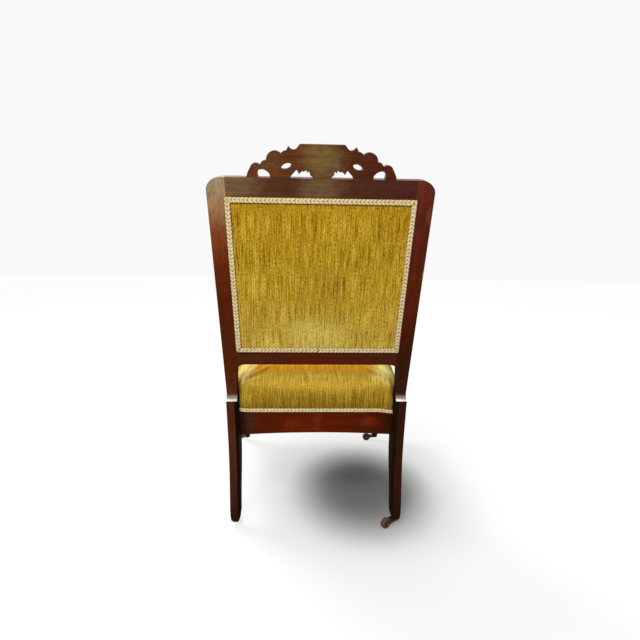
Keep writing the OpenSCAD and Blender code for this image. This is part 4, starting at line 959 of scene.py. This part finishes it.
swell(seat, seat_held)
map_cloth(seat, seat_run)
subdivide_smooth(seat)
print("Seat has", len(seat.data.polygons), "faces")

# %% [markdown]
# The inside of the back is a pad inside the frame. A box with rounded edges would look stiff
# beside the seat, so it is made in the same way as the seat, and held where it meets the frame.

# %% Inside back
RAKE = math.radians(13)
PAD_EDGE, PAD_EDGE_FADE = 3 * MM, 10 * MM
back_across = Vector((1, 0, 0))
back_up = Vector((0, math.sin(RAKE), math.cos(RAKE)))
back_out = Vector((0, math.cos(RAKE), -math.sin(RAKE)))

pad = add_piece(
    outer_skin("inside_back_cover", back_out), "inside_back_velvet", PAD_VELVET,
)
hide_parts("inside_back_cover", "back_stuffing")
remesh(pad)
pad_base = max(v.co.dot(back_out) for v in pad.data.vertices)


def pad_held(point):
    """1 where the pad meets the frame, and 0 further out."""
    return max(0.0, min(1.0, 1.0 - (pad_base - point.dot(back_out) - PAD_EDGE) / PAD_EDGE_FADE))


swell(pad, pad_held)
map_cloth(pad, lambda co: co.dot(back_up))
subdivide_smooth(pad)
print("Inside back has", len(pad.data.polygons), "faces")

# %% [markdown]
# The outer back is one flat piece of velvet, stretched and tacked to the frame under the braid.
# A flat face would do for the shape, but cloth dips a little between its tacks and is slack in
# the middle, and the light shows it. So a grid of small faces is laid on the CAD sheet's
# trapezium, with very low waves: short ones that die out from the edge, and long ones inside.

# %% Outer back
OUTER_STEPS = 110
NEAR_END = 1 * MM
CLOTH_THICK = 1.0 * MM
CLOTH_SINK = 0.3 * MM
TACK_PITCH = 28 * MM
DIP, DIP_REACH = 0.5 * MM, 26 * MM
SLACK, SLACK_REACH = 0.5 * MM, 40 * MM


def node_points(node):
    """The vertices of a CAD node."""
    return [v.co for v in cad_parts[node].data.vertices]


def reach_along(points, way):
    """The lowest and the highest place of some points along a way."""
    places = [p.dot(way) for p in points]
    return min(places), max(places)


def half_widths(points, near):
    """Half the width of some points near their lowest and near their highest end."""
    low, high = reach_along(points, back_up)
    low_ones = [p.x for p in points if p.dot(back_up) < low + near]
    high_ones = [p.x for p in points if p.dot(back_up) > high - near]
    return max(low_ones), max(high_ones)


def on_back(x, along, out):
    """A place or a way given across the back, up it and out of it."""
    return back_across * x + back_up * along + back_out * out


def outer_wave(x, s, edge):
    """Height of the cloth at a distance from its edge: dips at the tacks and a slack middle."""
    dips = DIP * math.exp(-edge / DIP_REACH) * math.cos(2 * math.pi * (x + s) / TACK_PITCH)
    slack = SLACK * math.sin(7 * x + 2.2) * math.sin(9 * s + 0.6)
    return dips + slack * (1 - math.exp(-edge / SLACK_REACH))


outer_points = node_points("outside_back_cover")
outer_low, outer_high = reach_along(outer_points, back_up)
outer_face = reach_along(outer_points, back_out)[1]
low_half_w, high_half_w = half_widths(outer_points, NEAR_END)
outer_tall = outer_high - outer_low

bm = bmesh.new()
bmesh.ops.create_grid(bm, x_segments=OUTER_STEPS, y_segments=OUTER_STEPS, size=1.0)
weave = bm.loops.layers.uv.new("weave")
for vert in bm.verts:
    across, up_share = vert.co.x, (vert.co.y + 1) / 2
    half_w = low_half_w + (high_half_w - low_half_w) * up_share
    height = outer_tall * up_share
    edge = min(half_w * (1 - abs(across)), height, outer_tall - height)
    wave = outer_wave(across * half_w, height, edge) if edge > 0 else 0.0
    vert.co = on_back(across * half_w, outer_low + height, outer_face - CLOTH_SINK + wave)
for face in bm.faces:
    for loop in face.loops:
        loop[weave].uv = (loop.vert.co.x, loop.vert.co.dot(back_up))
bmesh.ops.recalc_face_normals(bm, faces=bm.faces)
bm.normal_update()
if next(iter(bm.faces)).normal.dot(back_out) < 0:
    bmesh.ops.reverse_faces(bm, faces=bm.faces)
panel = add_piece(bm, "outside_back_velvet", BACK_VELVET)
thickness = panel.modifiers.new("thickness", "SOLIDIFY")
thickness.thickness = CLOTH_THICK
thickness.offset = -1
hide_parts("outside_back_cover")
print("Outer back is", round(2 * high_half_w / MM), "by", round(outer_tall / MM), "mm")

# %% [markdown]
# Gimp is a narrow woven braid that hides the tacks. Its loops could be real cords, but in almost
# five metres of braid that is a heavy mesh for a small detail. Here it is a long strip of small
# faces laid along a path. Its relief is a formula: two rows of slanted loops that meet in a
# groove, thin at both edges. The strip keeps the relief in an attribute too, from which the
# finish darkens the grooves. At a mitred corner each lane of the strip ends on the mitre, and
# the relief still follows real distances, so the loops keep their size.

# %% Braid
LOOP_PITCH = 8.6 * MM
LOOP_STEPS = 10
LOOP_SLANT = 0.6
LOOP_FULLNESS = 0.65
GROOVE_DEPTH, GROOVE_W = 0.5, 0.12
WANDER = [(0.09, 11.3 * MM, 0.0), (0.05, 4.7 * MM, 1.3)]
UNEVEN, UNEVEN_LENGTH = 0.12, 5.3 * MM
LANES = 10
SEAM = 1.4 * MM
BRAID_FLOOR = 0.3
BRAID_BASE = 0.6 * MM
SAME_POINT = 0.05 * MM


def braid_relief(along, across):
    """Height of the braid as a share of its thickness, across from -1 to 1. The loops wander
    and change a little along the braid, as woven ones do."""
    edge = (1 - abs(across) ** 6) ** 0.5
    wander = sum(far * math.sin(along / length + shift) for far, length, shift in WANDER)
    turns = along / LOOP_PITCH + wander - LOOP_SLANT * abs(across)
    loops = abs(math.sin(math.pi * turns)) ** LOOP_FULLNESS
    groove = 1 - GROOVE_DEPTH * math.exp(-((across / GROOVE_W) ** 2))
    uneven = 1 - UNEVEN + UNEVEN * math.sin(along / UNEVEN_LENGTH + 2 * across)
    return edge * loops * groove * uneven


def braid_strip(name, stations, width, thick, seams=False):
    """A strip along straight runs. Each station is a point, a vector across the strip from its
    first edge to its second one, which is longer than the width at a mitre, and the way out.
    Seams sink the relief where two runs meet."""
    bm = bmesh.new()
    uv = bm.loops.layers.uv.new("weave")
    relief_layer = bm.verts.layers.float.new(RELIEF)
    walked = 0.0
    for (start, cross_a, out_a), (end, cross_b, out_b) in zip(stations, stations[1:]):
        run = (end - start).length
        direction = (end - start) / run
        steps = max(2, round(run / (LOOP_PITCH / LOOP_STEPS)))
        made = bmesh.ops.create_grid(bm, x_segments=steps, y_segments=LANES, size=1.0)
        distance = {}
        for vert in made["verts"]:
            share, lane = (vert.co.x + 1) / 2, (vert.co.y + 1) / 2
            first, last = start + cross_a * lane, end + cross_b * lane
            place = first.lerp(last, share)
            out = out_a.lerp(out_b, share).normalized()
            along = walked + (place - start).dot(direction)
            distance[vert] = (along, lane * width)
            relief = braid_relief(along, 2 * lane - 1)
            if seams:
                relief *= min(1.0, min(share, 1 - share) * run / SEAM)
            vert[relief_layer] = relief
            vert.co = place + out * thick * (BRAID_FLOOR + (1 - BRAID_FLOOR) * relief)
        for face in {f for v in made["verts"] for f in v.link_faces}:
            for loop in face.loops:
                loop[uv].uv = distance[loop.vert]
        walked += run
    bmesh.ops.remove_doubles(bm, verts=bm.verts, dist=SAME_POINT)
    bmesh.ops.recalc_face_normals(bm, faces=bm.faces)
    bm.normal_update()
    if sum(f.normal.dot(stations[0][2]) for f in bm.faces) < 0:
        bmesh.ops.reverse_faces(bm, faces=bm.faces)
    strip = add_piece(bm, name, BRAID)
    base = strip.modifiers.new("base", "SOLIDIFY")
    base.thickness = BRAID_BASE
    base.offset = -1
    print(name, "is", round(walked, 2), "m long with", len(strip.data.polygons), "faces")
    return strip


# %% [markdown]
# The outer back's braid is one length with mitred corners, and it starts and ends in the middle
# of the lower side. Four straight strips would be simpler, but the loops would break at each
# corner.

# %% Braid round the outer back
GIMP_W = 12 * MM
GIMP_LIFT = 0.7 * MM
gimp_base, gimp_face = reach_along(node_points("outside_back_gimp"), back_out)
gimp_thick = gimp_face - gimp_base


def mitre(x_sign, up_sign):
    """The vector from the outer corner to the inner one."""
    return on_back(-x_sign * GIMP_W, -up_sign * GIMP_W, 0)


corners = [
    (0.0, outer_low, on_back(0, GIMP_W, 0)),
    (low_half_w, outer_low, mitre(1, -1)),
    (high_half_w, outer_high, mitre(1, 1)),
    (-high_half_w, outer_high, mitre(-1, 1)),
    (-low_half_w, outer_low, mitre(-1, -1)),
    (0.0, outer_low, on_back(0, GIMP_W, 0)),
]
outer_gimp = braid_strip(
    "outside_back_braid",
    [(on_back(x, along, gimp_base + GIMP_LIFT), cross, back_out) for x, along, cross in corners],
    GIMP_W, gimp_thick - GIMP_LIFT, seams=True,
)
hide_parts("outside_back_gimp")

# %% [markdown]
# The inner back's braid lies flat on the frame round the pad and turns round its corners. A
# bevelled curve could carry it, but the curve would twist at the bends, so each corner is a few
# stations whose vectors across turn from one side to the next.

# %% Braid round the inner back
CORNER_R = 28 * MM
CORNER_STEPS = 6
NEAR_CORNER = 40 * MM
INNER_SINK = 0.5 * MM
inner_points = node_points("inside_back_gimp")
inner_base = reach_along(inner_points, back_out)[1]
inner_low, inner_high = reach_along(inner_points, back_up)
inner_low_w, inner_high_w = half_widths(inner_points, NEAR_CORNER)


def corner_curve(corner, before, after, radius):
    """Points round a corner, each with the share of the turn that is done. Before and after
    are the ways from the corner along its two sides."""
    shares = [i / CORNER_STEPS for i in range(CORNER_STEPS + 1)]
    return [(t, corner + (before * (1 - t) ** 2 + after * t ** 2) * radius) for t in shares]


ring = []
for x_sign, up_sign, half_w in (
    (1, -1, inner_low_w), (1, 1, inner_high_w), (-1, 1, inner_high_w), (-1, -1, inner_low_w),
):
    along = inner_low if up_sign < 0 else inner_high
    corner = on_back(x_sign * half_w, along, inner_base - GIMP_LIFT)
    before, after = on_back(-x_sign, 0, 0), on_back(0, -up_sign, 0)
    if x_sign == up_sign:
        before, after = after, before
    for t, point in corner_curve(corner, before, after, CORNER_R):
        cross = (after * (1 - t) + before * t).normalized() * GIMP_W
        ring.append((point, cross, -back_out))
ring.append(ring[0])
inner_gimp = braid_strip("inside_back_braid", ring, GIMP_W, gimp_thick - INNER_SINK)
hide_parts("inside_back_gimp")

# %% [markdown]
# The seat's braid stands round the lower edge of the cover in two lengths: one behind, between
# the uprights, whose ends curl a little, and one round the sides and the front. The paths could
# be drawn by eye, but the braid would then float or sink, so they are found from the CAD strips.

# %% Braid round the seat
SEAT_GIMP_THICK = 2.0 * MM
FRONT_SINK = 2.2 * MM
FRONT_R = 32 * MM
LEG_BLOCK = 50 * MM
seat_gimp_low, seat_gimp_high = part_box("seat_gimp")
seat_gimp_w = seat_gimp_high.z - seat_gimp_low.z
rise = Vector((0, 0, seat_gimp_w))
seat_gimp_points = node_points("seat_gimp")
rear_x = max(p.x for p in seat_gimp_points if p.y > seat_gimp_high.y - NEAR_END)
side_y = max(p.y for p in seat_gimp_points if p.x > seat_gimp_high.x - NEAR_CORNER)
side_x = max(p.x for p in seat_gimp_points if abs(p.y - side_y) < NEAR_END)

rear_line = [
    (-rear_x, -4.0 * MM), (-rear_x + 10 * MM, -3.0 * MM), (-rear_x + 26 * MM, -0.8 * MM),
    (-rear_x + 42 * MM, 0.0), (rear_x - 16 * MM, 0.0), (rear_x - 7 * MM, 0.8 * MM),
    (rear_x, 3.0 * MM),
]
rear_y = seat_gimp_high.y - SEAT_GIMP_THICK
rear_strip = braid_strip(
    "seat_rear_braid",
    [(Vector((x, rear_y, seat_gimp_low.z + up)), rise, Vector((0, 1, 0))) for x, up in rear_line],
    seat_gimp_w, SEAT_GIMP_THICK,
)
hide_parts("seat_gimp")

corner = Vector((seat_gimp_high.x, seat_gimp_low.y, 0))
knee = corner + Vector((0, LEG_BLOCK, 0))
side_start = Vector((side_x, side_y, 0))
side_run = (knee - side_start).normalized()
around = []
for sign in (1, -1):
    half = [(side_start, Vector((-side_run.y, side_run.x, 0))), (knee, Vector((1, 0, 0)))]
    for t, point in corner_curve(corner, Vector((0, 1, 0)), Vector((-1, 0, 0)), FRONT_R):
        half.append((point, Vector((1 - t, -t, 0)).normalized()))
    half = [
        (Vector((sign * p.x, p.y, seat_gimp_low.z)), Vector((sign * out.x, out.y, 0)))
        for p, out in half
    ]
    around += half if sign > 0 else half[::-1]
front_strip = braid_strip(
    "seat_front_braid", [(point - out * FRONT_SINK, rise, out) for point, out in around],
    seat_gimp_w, SEAT_GIMP_THICK,
)
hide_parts("seat_gimp")
